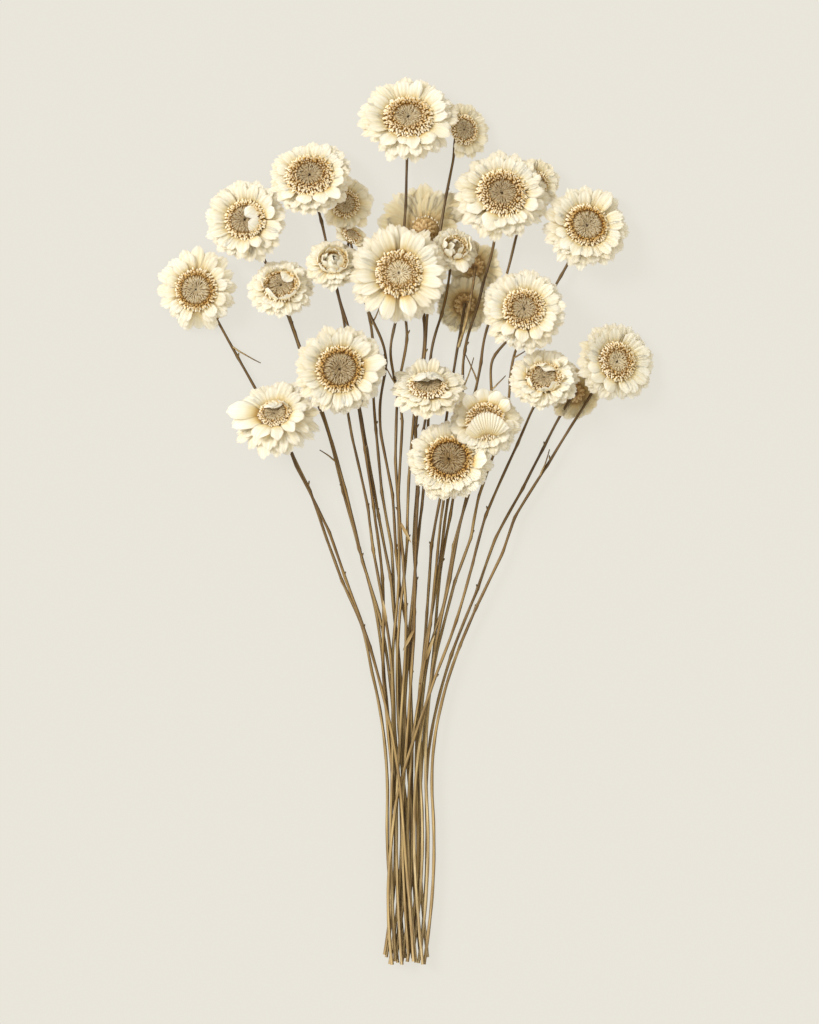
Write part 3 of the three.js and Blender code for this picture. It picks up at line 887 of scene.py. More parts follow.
@dataclass(frozen=True)
class BarkFinish:
    """A dry stem: tan at the foot and darker towards the head, with long streaks, and painted shade on its
    flanks and underside.
    """

    depth: float = 0.2
    girth: float = 1.6
    body: Stops = ((0.0, 240, 220, 172), (0.3, 214, 190, 134), (0.6, 158, 128, 70), (1.0, 108, 82, 34))
    tint: Colour = srgb(198, 178, 130)
    # Painted shade: the colour that the flanks and underside of a stem are darkened by.
    painted_flank_shade: Colour = srgb(104, 84, 52)
    dark_streak: Colour = srgb(142, 116, 80)
    pale_streak: Colour = srgb(232, 210, 160)
    cut: Colour = srgb(222, 200, 152)

    def build(self) -> Material:
        """Makes the material.

        Returns:
            The material.
        """
        shading = Shading("stem_bark")
        shift = shading.times(shading.tone, 61.0)
        turn = shading.times(shading.across, 2 * math.pi)
        cosine, sine = shading.maths("COSINE", turn), shading.maths("SINE", turn)
        ring = (shading.times(cosine, self.girth), shading.times(sine, self.girth))
        far = shading.plus(shading.times(shading.along, 12.0), shift)
        streaks = shading.noise(shading.vector(*ring, far), 1.3, 5.0)
        patches = shading.noise(shading.vector(shift, shading.times(shading.along, 14.0), 0.0), 1.0, 2.0)
        body = shading.ramp(shading.plus(shading.along, shading.swing(patches, 0.9)), self.body)
        tinted = shading.darkened(shading.times(shading.tone, 0.75), body, self.tint)
        # Painted shade: the flanks and underside are darkened and the top is left light, as if lit from
        # above.
        shaded = shading.darkened(shading.between(sine, 0.92, 0.3, 0.9), tinted, self.painted_flank_shade)
        dark = shading.darkened(shading.between(streaks, 0.42, 0.6, 0.85), shaded, self.dark_streak)
        pale = shading.mixed(shading.between(streaks, 0.6, 0.68, 0.55), dark, self.pale_streak)
        cut = shading.mixed(shading.age(), pale, self.cut)
        return shading.finish(cut, shading.raised(streaks, 0.5, 0.25), streaks, self.depth)


@dataclass(frozen=True)
class SpottedFinish:
    """What the finishes of the small parts share: colours along the grain, with darker spots.

    Attributes:
        name: The name of the material.
        body: The colours from the root to the tip.
        stretch: What the three numbers of the grain are multiplied by for the noise.
        scale: The scale of the noise.
        spot: What a spot darkens the surface by.
        spots: The noise where a spot begins, that where it is full, and how strong it is then.
        roughness: The least roughness, and how much the noise adds to it.
        depth: The depth of the relief.
        shift: How far the colours are shifted along, from the palest tone to the darkest.
        aged: What the most aged surface is darkened by.
    """

    name: str
    body: Stops
    stretch: Triple
    scale: float
    spot: Colour
    spots: Triple
    roughness: tuple[float, float]
    depth: float = 0.12
    shift: float = 0.0
    aged: Colour = (1.0, 1.0, 1.0, 1.0)

    def build(self) -> Material:
        """Makes the material.

        Returns:
            The material.
        """
        shading = Shading(self.name)
        cloud = shading.clouds(self.stretch, self.scale)
        body = shading.ramp(shading.plus(shading.along, shading.swing(shading.tone, self.shift)), self.body)
        aged = shading.darkened(shading.age(), body, self.aged)
        spotted = shading.darkened(shading.between(cloud, *self.spots), aged, self.spot)
        return shading.finish(spotted, shading.raised(cloud, *self.roughness), cloud, self.depth)


@dataclass(frozen=True)
class FloretFinish(SpottedFinish):
    """Stubby florets: golden brown at the root and cream at the tip, the inner ones golden."""

    name: str = "floret"
    body: Stops = (
        (0.0, 156, 112, 40),
        (0.28, 210, 164, 72),
        (0.46, 242, 212, 136),
        (0.62, 253, 242, 208),
        (1.0, 255, 251, 236),
    )
    stretch: Triple = (5.0, 1.0, 31.0)
    scale: float = 1.5
    spot: Colour = srgb(222, 186, 120)
    spots: Triple = (0.35, 0.7, 0.3)
    roughness: tuple[float, float] = (0.5, 0.2)
    depth: float = 0.08
    shift: float = 0.3
    aged: Colour = srgb(210, 182, 128)


@dataclass(frozen=True)
class HeartFinish(SpottedFinish):
    """The taupe filaments in the middle of a disc, and the floor between them."""

    name: str = "heart"
    body: Stops = (
        (0.0, 104, 74, 30),
        (0.1, 156, 118, 58),
        (0.3, 200, 168, 108),
        (0.6, 240, 224, 182),
        (1.0, 255, 250, 226),
    )
    stretch: Triple = (4.0, 3.0, 23.0)
    scale: float = 1.4
    spot: Colour = srgb(176, 140, 88)
    spots: Triple = (0.35, 0.65, 0.35)
    roughness: tuple[float, float] = (0.6, 0.2)
    depth: float = 0.1
    aged: Colour = srgb(136, 108, 46)


@dataclass(frozen=True)
class ScaleFinish(SpottedFinish):
    """The tan papery scales behind a head."""

    name: str = "calyx_scale"
    body: Stops = ((0.0, 126, 92, 46), (0.4, 186, 152, 96), (0.8, 224, 200, 150), (1.0, 240, 224, 184))
    stretch: Triple = (7.0, 1.0, 29.0)
    scale: float = 1.0
    spot: Colour = srgb(176, 140, 88)
    spots: Triple = (0.4, 0.6, 0.5)
    roughness: tuple[float, float] = (0.55, 0.2)


@dataclass(frozen=True)
class LeafFinish(SpottedFinish):
    """A dried scrap of leaf, straw-coloured."""

    name: str = "leaf_scrap"
    body: Stops = ((0.0, 140, 112, 66), (0.4, 180, 154, 102), (1.0, 204, 184, 140))
    stretch: Triple = (6.0, 1.0, 17.0)
    scale: float = 1.2
    spot: Colour = srgb(184, 150, 96)
    spots: Triple = (0.0, 1.0, 0.5)
    roughness: tuple[float, float] = (0.6, 0.0)


class Finishes:
    """The materials of each kind of piece, in the order of its slots."""

    def __init__(self) -> None:
        """Makes every material of the bunch."""
        self.wood = [BarkFinish().build(), ScaleFinish().build(), LeafFinish().build()]
        self.disc = [FloretFinish().build(), HeartFinish().build()]
        self.petals = [PetalFinish().build()]


@dataclass(frozen=True)
class LayerOfStems:
    """Where the stems of one layer stand side by side, at the waist and at their feet."""

    waist: float
    waist_width: float
    foot: float
    foot_width: float


@dataclass
class StemRoutes:
    """The middle lines of all stems, by the rules of the part's source."""

    layers: tuple[LayerOfStems, ...] = (
        LayerOfStems(2.5, 15, -1.5, 17),
        LayerOfStems(-0.5, 16, 3.5, 15),
        LayerOfStems(3.0, 19, -1.0, 20),
        LayerOfStems(0.5, 17, 1.5, 21),
    )
    waist_y: float = -140.0
    foot_y: float = -222.0
    foot_scatter: float = 9.0
    slot_scatter: float = 0.3
    order_y: float = 0.0
    fan_power: float = 1.7
    foot_power: float = 1.5
    foot_radius: float = 0.85
    neck_radius: float = 0.66
    sides: int = 5
    pitch: float = 1.95
    neck_handles: tuple[float, float] = (0.42, 0.36)
    neck_steps: int = 8
    run_step: float = 36.0
    branch_from: float = 0.85
    branch_way: Triple = (0.25, 0.7, 0.75)
    slots: dict[int, tuple[float, float, float, float]] = field(default_factory=dict)

    def __post_init__(self) -> None:
        """Gives each stem its place at the waist and at the foot."""
        draw = Draw(11)
        for layer, row in enumerate(self.layers):
            stems = [one for one in FLOWERS if one.layer == layer and not one.branch_of]
            stems.sort(key=self._spread)
            for index, one in enumerate(stems):
                share = index / (len(stems) - 1) - 0.5
                waist_x = row.waist + share * row.waist_width + self.slot_scatter * (draw() - 0.5)
                foot_x = row.foot + share * row.foot_width + self.slot_scatter * (draw() - 0.5)
                foot_y = self.foot_y + self.foot_scatter * draw() ** 2
                height = self.foot_radius * math.cos(math.pi / self.sides) + layer * self.pitch
                self.slots[one.number] = (waist_x, foot_x, foot_y, height)

    def _spread(self, one: Flower) -> float:
        """How far to the side a flower's stem is where the stems are put in order."""
        share = (self.order_y - self.waist_y) / (one.base[1] - self.waist_y)
        return one.base[0] * share**self.fan_power + one.bow

    def run_at(self, one: Flower, y: float) -> np.ndarray:
        """The middle of a stem below its neck.

        Args:
            one: The flower that the stem carries.
            y: How far along the bunch.

        Returns:
            The point.
        """
        waist_x, foot_x, foot_y, height = self.slots[one.number]
        if y > self.waist_y:
            share = (y - self.waist_y) / (one.base[1] - self.waist_y)
            fanned = waist_x + (one.base[0] - waist_x) * share**self.fan_power
            return np.array([fanned + one.bow * math.sin(math.pi * share), y, height])
        share = (self.waist_y - y) / (self.waist_y - foot_y)
        return np.array([waist_x + (foot_x - waist_x) * share**self.foot_power, y, height])

    def _neck(self, start: np.ndarray, heading: np.ndarray, one: Flower, step: float) -> np.ndarray:
        """The curve from a point on a stem to the base of a head.

        Args:
            start: The point.
            heading: The direction in which the curve leaves it, of any length.
            one: The flower.
            step: The length of the stretches of a stem, twice that of the curve's.

        Returns:
            The points of the curve, without its start.
        """
        reach = np.linalg.norm(one.base - start)
        first = start + heading / np.linalg.norm(heading) * self.neck_handles[0] * reach
        second = one.base - one.axis * self.neck_handles[1] * reach
        steps = max(self.neck_steps, math.ceil(reach / step * 2))
        share = np.linspace(0, 1, steps + 1)[1:, None]
        rest = 1 - share
        return (
            rest**3 * start
            + 3 * rest**2 * share * first
            + 3 * rest * share**2 * second
            + share**3 * one.base
        )

    def line(self, one: Flower, step: float) -> np.ndarray:
        """The middle line of a stem, from its foot to its calyx.

        Args:
            one: The flower that it carries.
            step: The length of its stretches.

        Returns:
            The points of the line.
        """
        if one.branch_of:
            return self._branch(one, step)
        foot_y = self.slots[one.number][2]
        neck_y = one.base[1] - one.neck
        places = np.linspace(foot_y, neck_y, max(2, math.ceil((neck_y - foot_y) / step) + 1))
        run = np.array([self.run_at(one, y) for y in places])
        heading = run[-1] - self.run_at(one, neck_y - 1)
        return np.concatenate([run, self._neck(run[-1], heading, one, step)])

    def _branch(self, one: Flower, step: float) -> np.ndarray:
        """The middle line of a branch, which leaves its parent's stem below the parent's head.

        Args:
            one: The flower that it carries.
            step: The length of the stretches of a stem.

        Returns:
            The points of the line.
        """
        parent = next(other for other in FLOWERS if other.number == one.branch_of)
        foot_y = self.slots[parent.number][2]
        neck_y = parent.base[1] - parent.neck
        steps = math.ceil((neck_y - foot_y) / self.run_step)
        last_y = foot_y + (neck_y - foot_y) * (steps - 1) / steps
        low, high = self.run_at(parent, last_y), self.run_at(parent, neck_y)
        fork = low + (high - low) * self.branch_from
        return np.concatenate([[fork], self._neck(fork, np.array(self.branch_way), one, step)])


@dataclass(frozen=True)
class Sprig:
    """What grows out of a stem: a thin bare twig or a dried scrap of leaf.

    Attributes:
        number: The flower whose stem carries it.
        y: Where on the stem it grows.
        length: Its length.
        way: The direction on the ground in which it points.
    """

    number: int
    y: float
    length: float
    way: float


# How far each layer of stems sways to the side, and over what length.
WEAVES = ((1.0, 84.0), (-1.3, 104.0), (2.1, 92.0), (-2.4, 124.0))
# Stems that cross over the others by their feet: how far, and how high over each other.
CROSSINGS = {20: (-19.0, 0.0), 23: (13.0, 1.95)}
# Stems that sway aside between the heads: how far, about which y, and over what length.
SWAYS = {
    1: (2.6, 92.0, 20.0),
    3: (-2.4, 84.0, 15.0),
    4: (3.6, 96.0, 24.0),
    8: (3.0, 92.0, 15.0),
    9: (7.5, 84.0, 20.0),
    10: (2.4, 96.0, 18.0),
    11: (-5.2, 86.0, 20.0),
    12: (-4.0, 94.0, 22.0),
    13: (-8.0, 88.0, 22.0),
    14: (-4.6, 86.0, 17.0),
    15: (-3.2, 88.0, 20.0),
    18: (-7.0, 82.0, 18.0),
}
TWIGS = (
    Sprig(6, 88, 17, -36),
    Sprig(6, 101, 6, 62),
    Sprig(4, 98, 12, 62),
    Sprig(18, 66, 10, 38),
    Sprig(13, 82, 7, 24),
    Sprig(11, 44, 13, 72),
    Sprig(3, 62, 12, 112),
    Sprig(19, 22, 15, 66),
    Sprig(5, 30, 10, 140),
    Sprig(14, 66, 15, 112),
    Sprig(11, 66, 17, 66),
    Sprig(12, 70, 15, 108),
)
SCRAPS = (
    Sprig(14, 0, 12, -62),
    Sprig(22, -52, 13, 98),
    Sprig(24, -54, 12, -118),
    Sprig(25, -70, 14, 70),
)


@dataclass
class Stem:
    """One cut stem with its ribs, knots, stubs and side twigs, and the scraps of leaf that it carries.

    Attributes:
        one: The flower that it carries.
        routes: The middle lines of all stems.
        step: The length of its stretches.
        sides: How many sides it has, two for each rib.
        rib: How far a rib stands out, as a share of the radius.
        knot: How far a knot may stand out.
        kink: How far the stem may bend aside.
        kink_gap: The least and the greatest distance between two bends.
        bends: How many bends are drawn, more than the longest stem has room for.
        straight_top: The length below the calyx that has no bend.
        hold: One over the share of its length in which it comes free to bend below its calyx.
        least_free: How free it is where the stems are packed tightly.
        swell: How much its radius swells and shrinks along it.
        swell_length: Over what length it does.
        knots_from: The share of its length below which no bend has a knot.
        knot_length: The length of a knot.
        tight_y: Up to where the stems are packed so tightly that they hardly bend.
        loose_over: Over what length above it they come free.
        weave_end: Where the sway of the layers ends.
        weave_fade: Over what length it ends.
        crossing_y: Below where the crossing stems leave their own place.
        crossing_lift: How high they rise over the other stems.
        twig_radii: The radius of a twig at its root and at its tip.
        stub_radii: The same for a stub.
        scrap_width: The width of a scrap of leaf.
        scrap_thickness: Its thickness.
    """

    one: Flower
    routes: StemRoutes
    step: float = 2.4
    sides: int = 10
    rib: float = 0.04
    knot: float = 0.34
    kink: float = 1.25
    kink_gap: tuple[float, float] = (20.0, 38.0)
    bends: int = 24
    straight_top: float = 12.0
    hold: float = 12.0
    least_free: float = 0.14
    swell: float = 0.06
    swell_length: float = 3.1
    knots_from: float = 0.45
    knot_length: float = 1.3
    tight_y: float = -118.0
    loose_over: float = 80.0
    weave_end: float = 0.0
    weave_fade: float = 60.0
    crossing_y: float = -30.0
    crossing_lift: float = 1.95
    twig_radii: tuple[float, float] = (0.48, 0.24)
    stub_radii: tuple[float, float] = (0.55, 0.38)
    scrap_width: float = 1.6
    scrap_thickness: float = 0.25

    def add_to(self, skin: Skin) -> None:
        """Puts the stem into the skin of its piece.

        Args:
            skin: The skin.
        """
        rng = np.random.default_rng(100 + self.one.number)
        line = self.routes.line(self.one, self.step)
        heights = np.concatenate([[0], np.cumsum(np.linalg.norm(np.diff(line, axis=0), axis=1))])
        whole = heights[-1]
        share = heights / whole
        bends = np.cumsum(rng.uniform(*self.kink_gap, self.bends))
        bends = bends[bends < whole - self.straight_top]
        below_calyx = np.clip((1 - share) * self.hold, 0, 1)
        free = np.clip((line[:, 1] - self.tight_y) / self.loose_over, self.least_free, 1) * below_calyx
        aside = rng.choice([-1.0, 1.0], len(bends)) * rng.uniform(0.3, 1, len(bends))
        line[:, 0] += self.kink * free * np.interp(heights, [0, *bends, whole], [0, *aside, 0])
        line[:, 0] += self._woven(line[:, 1])
        self._cross(line)
        self._sway(line, below_calyx)
        radius = self.routes.foot_radius + (self.routes.neck_radius - self.routes.foot_radius) * share
        radius = radius * (1 + self.swell * np.sin(heights / self.swell_length + rng.uniform(0, 6)))
        knots = bends[bends > self.knots_from * whole]
        for place in knots:
            bulge = np.exp(-(((heights - place) / self.knot_length) ** 2))
            radius = radius + self.knot * rng.uniform(0.3, 1) * bulge
        ribs = self.rib * np.cos(np.pi * np.arange(self.sides))
        grown(skin, line, radius, ribs, rng.uniform())
        self._stubs(skin, line, np.searchsorted(heights, knots), rng)
        for twig in TWIGS:
            if twig.number == self.one.number:
                self._twig(skin, line, twig, rng)
        for scrap in SCRAPS:
            if scrap.number == self.one.number:
                self._leaf(skin, line, scrap, rng)

    def _woven(self, y: np.ndarray) -> np.ndarray:
        """How far to the side the stem's layer sways, each layer against the next one.

        Args:
            y: Places along the bunch.

        Returns:
            How far to the side at each of them.
        """
        reach, length = WEAVES[self.one.layer]
        fading = np.clip((self.weave_end - y) / self.weave_fade, 0, 1)
        return reach * fading * np.sin(np.pi * (y - self.routes.foot_y) / length)

    def _cross(self, line: np.ndarray) -> None:
        """Moves the lower part of a crossing stem over the others, lifted clear of them.

        Args:
            line: The stem's middle line, which is changed.
        """
        if self.one.number not in CROSSINGS:
            return
        aside, hump = CROSSINGS[self.one.number]
        share = np.clip((self.crossing_y - line[:, 1]) / (self.crossing_y - self.routes.foot_y), 0, 1)
        rising = np.minimum(share / 0.15, 1)
        line[:, 0] += aside * share**2 * (3 - 2 * share)
        line[:, 2] += self.crossing_lift * rising**2 * (3 - 2 * rising)
        line[:, 2] += hump * np.exp(-(((share - 0.52) / 0.13) ** 2))

    def _sway(self, line: np.ndarray, top: np.ndarray) -> None:
        """Moves a stem aside between the heads.

        Args:
            line: The stem's middle line, which is changed.
            top: How far each of its points may move, from 1 down to 0 at the calyx.
        """
        if self.one.number not in SWAYS:
            return
        aside, middle, length = SWAYS[self.one.number]
        line[:, 0] += aside * np.exp(-(((line[:, 1] - middle) / length) ** 2)) * top**2 * (3 - 2 * top)

    @staticmethod
    def _at(line: np.ndarray, y: float) -> np.ndarray:
        """The point of a stem's middle line that is this far along the bunch."""
        return np.array([np.interp(y, line[:, 1], line[:, axis]) for axis in range(3)])

    def _twig(self, skin: Skin, line: np.ndarray, twig: Sprig, rng: np.random.Generator) -> None:
        """Adds a side twig.

        Args:
            skin: The skin of the piece.
            line: The stem's middle line.
            twig: The twig.
            rng: The source of chance.
        """
        out, aside = ways(twig.way)
        share = np.linspace(0, 1, 8)[:, None]
        path = self._at(line, twig.y) + (out + 0.22 * UP) * twig.length * share
        path = path + aside * 0.09 * twig.length * share**2
        path[3:] += aside * rng.uniform(-0.3, 0.3)
        grown(skin, path, np.linspace(*self.twig_radii, 8), np.zeros(6), rng.uniform())

    def _stubs(self, skin: Skin, line: np.ndarray, knots: np.ndarray, rng: np.random.Generator) -> None:
        """Adds the short stubs where leaves have broken off.

        Args:
            skin: The skin of the piece.
            line: The stem's middle line.
            knots: The number of the line's point at each knot.
            rng: The source of chance.
        """
        share = np.linspace(0, 1, 4)[:, None]
        for index in knots[self.one.number % 2 :: 3]:
            start = line[min(index, len(line) - 2)]
            forward = line[min(index + 1, len(line) - 1)] - start
            forward /= max(np.linalg.norm(forward), 1e-9)
            side = rng.choice([-1.0, 1.0])
            way = forward * 1.2 + np.array([side, 0.0, rng.uniform(0, 0.5)])
            way /= np.linalg.norm(way)
            length = rng.uniform(1.2, 2.2)
            path = start + way * share * length + forward * 0.25 * length * share**2
            grown(skin, path, np.linspace(*self.stub_radii, 4), np.zeros(5), rng.uniform(), cut=False)

    def _leaf(self, skin: Skin, line: np.ndarray, scrap: Sprig, rng: np.random.Generator) -> None:
        """Adds a dried scrap of leaf.

        Args:
            skin: The skin of the piece.
            line: The stem's middle line.
            scrap: The scrap of leaf.
            rng: The source of chance.
        """
        out, side = ways(scrap.way)
        along = np.linspace(0, 1, 12)[:, None, None]
        across = np.linspace(-1, 1, 5)[None, :, None]
        width = self.scrap_width / 2 * np.sin(np.pi * (0.14 + 0.84 * along)) ** 0.8
        climb = 0.36 * scrap.length * (along - 0.42 * along**2)
        curl = 0.35 * across**2 + 0.25 * np.sin(4 * along + 1) * across
        start = self._at(line, scrap.y)
        grid = start + out * along * scrap.length + side * across * width + UP * (climb + curl)
        points, faces, grain = Sheet(grid, self.scrap_thickness).closed()
        skin.add(points, [faces], with_tone(grain, rng.uniform()), 0.0, LEAF)


@dataclass
class Calyx:
    """The cone behind a head, with rows of overlapping brown scales.

    Attributes:
        one: The flower.
        rows: For each row of scales, where it starts, how long its scales are and how many there are.
        steps: How many rings of points the cone has.
        sides: How many sides the cone has.
        scale_thickness: The thickness of a scale.
        root_radius: The radius of the cone at the stem.
        top_radius: Its radius under the florets, in disc radii.
        top_depth: How far its top lies below the disc, in disc radii.
    """

    one: Flower
    rows: tuple[tuple[float, float, int], ...] = ((0.98, 0.42, 9), (0.72, 0.46, 11), (0.4, 0.5, 13))
    steps: int = 7
    sides: int = 20
    scale_thickness: float = 0.3
    root_radius: float = 0.75
    top_radius: float = 0.8
    top_depth: float = 0.07

    def profile(self, share: np.ndarray | float) -> tuple[np.ndarray, np.ndarray]:
        """The outline of the cone.

        Args:
            share: From 0 under the florets to 1 at the stem.

        Returns:
            The radius and the height there.
        """
        disc = self.one.disc
        share = np.asarray(share, float)
        radius = self.root_radius + (self.top_radius * disc - self.root_radius) * (1 - share) ** 0.8
        height = -self.top_depth * disc - (self.one.BASE_DEPTH - self.top_depth) * disc * share
        return radius, height

    def add_to(self, skin: Skin) -> None:
        """Puts the cone and its scales into the skin of the stem.

        Args:
            skin: The skin.
        """
        rng = np.random.default_rng(200 + self.one.number)
        radius, height = self.profile(np.linspace(1, 0, self.steps))
        line = height[:, None] * UP
        aside = np.array([[1.0, 0.0, 0.0]])
        cone = Tubes(line[None], radius[None], aside, np.zeros(self.sides), capped=True)
        cone.add_to(skin, np.array([0.5]), 0.0, SCALE, self.one.placed)
        for start, length, count in self.rows:
            for index in range(count):
                turn = 2 * np.pi * (index + rng.uniform(-0.12, 0.12) + start * 3) / count
                self._scale(skin, turn, start, length * rng.uniform(0.85, 1.1), count, rng)

    def _scale(
        self, skin: Skin, turn: float, start: float, length: float, count: int, rng: np.random.Generator
    ) -> None:
        """Adds one scale, which lies on the cone and lifts off it towards its tip.

        Args:
            skin: The skin of the stem.
            turn: The scale's direction from the axis, in radians.
            start: Where on the cone its root is, as in profile.
            length: Its length, as a share of the cone's.
            count: How many scales its row has.
            rng: The source of chance.
        """
        along = np.linspace(0, 1, 6)[:, None]
        across = np.linspace(-1, 1, 5)[None, :]
        radius, height = self.profile(np.clip(start - along * length, 0, 1))
        lift = 0.15 + (0.5 + 0.3 * rng.uniform()) * along**1.5
        wide = 1.25 * np.pi * self.profile(start - length * 0.5)[0] / count
        half = wide * np.sin(np.pi * (0.22 + 0.7 * along)) ** 0.9
        out = radius + lift + 0.25 * (1 - across**2)
        grid = polar(turn + across * half / np.maximum(out, 0.8), out, height + 0 * across - 0.12 * lift)
        points, faces, grain = Sheet(grid[:, ::-1], self.scale_thickness).closed()
        skin.add(self.one.placed(points), [faces], with_tone(grain, rng.uniform()), 0.0, SCALE)


# How dark the heart of a head is, from 0 to 1, where it isn't as usual.
HEART_AGES = {
    1: 0.3,
    3: 0.45,
    5: 0.5,
    6: 0.3,
    11: 0.45,
    13: 0.35,
    14: 0.0,
    19: 0.0,
    22: 0.5,
    25: 0.65,
    26: 0.1,
}
USUAL_HEART_AGE = 0.4
# Heads whose inner florets are golden right up to their tips.
GOLDEN_HEADS = (6, 13, 22, 25)
# Heads with more florets inside the usual rows, before the filaments begin.
WIDE_HEADS = (1, 3, 11, 14, 18, 19, 26)


@dataclass(frozen=True)
class FloretRow:
    """One row of florets.

    Attributes:
        foot: The radius of their feet, in disc radii.
        tip: The radius of their tips, in disc radii.
        height: The height of their tips, in disc radii.
        golden: How golden they are.
    """

    foot: float
    tip: float
    height: float
    golden: float


@dataclass
class Disc:
    """The middle of a head: rows of curled florets round a sunken heart of fine filaments.

    Attributes:
        one: The flower.
        rows: The rows of florets.
        wide_rows: The further rows of the wide heads.
        rings: The radius of each ring of filaments, in disc radii.
        floret_pitch: From one floret of a row to the next.
        filament_pitch: The same for filaments.
        floret_radii: The radius of a floret from its foot to its tip.
        filament_radii: The same for a filament.
        floor_radii: The rings of the floor, in disc radii, from below its edge to its middle.
        floor_sides: How many sides the floor has.
        floor_below: The heights of its first two rings, in disc radii.
    """

    one: Flower
    rows: tuple[FloretRow, ...] = (
        FloretRow(0.89, 1.05, 0.0, 0.0),
        FloretRow(0.83, 0.97, 0.08, 0.05),
        FloretRow(0.77, 0.88, 0.13, 0.2),
        FloretRow(0.74, 0.78, 0.17, 0.35),
    )
    wide_rows: tuple[FloretRow, ...] = (FloretRow(0.68, 0.7, 0.18, 0.5), FloretRow(0.6, 0.61, 0.18, 0.6))
    rings: tuple[float, ...] = (0.76, 0.7, 0.63, 0.56, 0.48, 0.4, 0.32, 0.24, 0.16)
    floret_pitch: float = 1.12
    filament_pitch: float = 0.98
    floret_radii: tuple[float, ...] = (0.26, 0.31, 0.38, 0.44, 0.36)
    filament_radii: tuple[float, ...] = (0.2, 0.26, 0.24, 0.14)
    floor_radii: tuple[float, ...] = (0.84, 0.93, 0.96, 0.9, 0.76, 0.66, 0.56, 0.42, 0.28, 0.14, 0.07, 0.03)
    floor_sides: int = 24
    floor_below: tuple[float, float] = (-0.14, -0.13)

    def dish(self, radius: np.ndarray | float) -> np.ndarray:
        """The height of the floor between the florets and filaments.

        Args:
            radius: The distance from the axis, in disc radii.

        Returns:
            The height.
        """
        places = [0.0, 0.06, 0.14, 0.3, 0.56, 0.76, 0.9, 1.0]
        heights = [-0.06, -0.05, 0.0, 0.05, 0.1, 0.07, -0.02, -0.1]
        return np.interp(radius, places, heights) * self.one.disc

    def add_to(self, skin: Skin) -> None:
        """Puts the disc into the skin of its piece.

        Args:
            skin: The skin.
        """
        rng = np.random.default_rng(300 + self.one.number)
        age = HEART_AGES.get(self.one.number, USUAL_HEART_AGE)
        self._floor(skin, age)
        wide = self.one.number in WIDE_HEADS
        for row in self.rows + self.wide_rows * wide:
            golden = min(1.0, row.golden * 4) if self.one.number in GOLDEN_HEADS else row.golden
            self._florets(skin, row, golden, rng)
        for ring in self.rings[len(self.wide_rows) * wide :]:
            self._filaments(skin, ring, min(1.0, age + 0.4 * (1 - ring / self.rings[0])), rng)

    def _floor(self, skin: Skin, age: float) -> None:
        """Adds the floor of the disc, closed from below.

        Args:
            skin: The skin.
            age: How dark the floor is, from 0 to 1.
        """
        radii = np.array(self.floor_radii)
        height = self.dish(radii)
        height[:2] = np.array(self.floor_below) * self.one.disc
        turn = 2 * np.pi * np.arange(self.floor_sides) / self.floor_sides
        ring = polar(turn[None, :], (radii * self.one.disc)[:, None], height[:, None])
        ends = np.array([[0.0, 0.0, height[0]], [0.0, 0.0, self.dish(0.0)]])
        points = np.concatenate([ring.reshape(-1, 3), ends])
        along = np.append(np.repeat(radii * 0.35, self.floor_sides), [0, 0])
        across = np.append(np.tile(turn * 3, len(radii)), [0, 0])
        grain = with_tone(np.column_stack([across, along]), 0.4)
        skin.add(self.one.placed(points), list(ring_faces(len(radii), self.floor_sides)), grain, age, HEART)

    def _florets(self, skin: Skin, row: FloretRow, golden: float, rng: np.random.Generator) -> None:
        """Adds one row of florets, which lean outwards and curl at their tips.

        Args:
            skin: The skin.
            row: The row.
            golden: How golden its florets are, from 0 to 1.
            rng: The source of chance.
        """
        disc = self.one.disc
        count = max(14, round(2 * np.pi * row.tip * disc / self.floret_pitch))
        turn = 2 * np.pi * (np.arange(count) + rng.uniform(-0.28, 0.28, count)) / count + rng.uniform(0, 1)
        start_radius = row.foot * disc
        start = polar(turn, start_radius, self.dish(row.foot) - 0.2)
        end_radius = disc * (row.tip + rng.uniform(-0.07, 0.06, count))
        end_height = disc * (row.height + rng.uniform(-0.04, 0.05, count))
        veer = turn + rng.normal(0, 0.06, count)
        end = polar(veer, end_radius, end_height)
        top_height = np.maximum(end_height, self.dish(row.foot)) + 0.08 * disc
        top = polar((turn + veer) / 2, start_radius + 0.42 * (end_radius - start_radius), top_height)
        size = rng.uniform(0.85, 1.15, count)[:, None] * min(1.0, 0.55 + disc / 26)
        radii = size * np.array(self.floret_radii)[None, :]
        lines = arcs(start, top, end, len(self.floret_radii))
        florets = Tubes(lines, radii, polar(turn + np.pi / 2, 1.0, 0.0), np.zeros(5))
        florets.add_to(skin, rng.uniform(0, 1, count), golden, FLORET, self.one.placed)

    def _filaments(self, skin: Skin, ring: float, dark: float, rng: np.random.Generator) -> None:
        """Adds one ring of fine filaments, which lean towards the middle.

        Args:
            skin: The skin.
            ring: The radius of the ring, in disc radii.
            dark: How dark its filaments are, from 0 to 1.
            rng: The source of chance.
        """
        disc = self.one.disc
        count = max(7, round(2 * np.pi * ring * disc / self.filament_pitch))
        turn = 2 * np.pi * (np.arange(count) + rng.uniform(-0.2, 0.2, count)) / count + rng.uniform(0, 6)
        start = polar(turn, ring * disc, self.dish(ring) - 0.15)
        length = disc * rng.uniform(0.14, 0.3, count)
        end_radius = np.maximum(rng.uniform(0.04, 0.11, count) * disc, ring * disc - length)
        end_height = self.dish(end_radius / disc) + disc * rng.uniform(0.03, 0.09, count)
        end = polar(turn + rng.normal(0, 0.07, count), end_radius, end_height)
        top = (start + end) / 2 + UP * (0.06 * disc)
        radii = rng.uniform(0.85, 1.2, (count, 1)) * np.array(self.filament_radii)[None, :]
        lines = arcs(start, top, end, len(self.filament_radii))
        filaments = Tubes(lines, radii, polar(turn + np.pi / 2, 1.0, 0.0), np.zeros(3))
        filaments.add_to(skin, rng.uniform(0, 1, count), dark, HEART, self.one.placed)


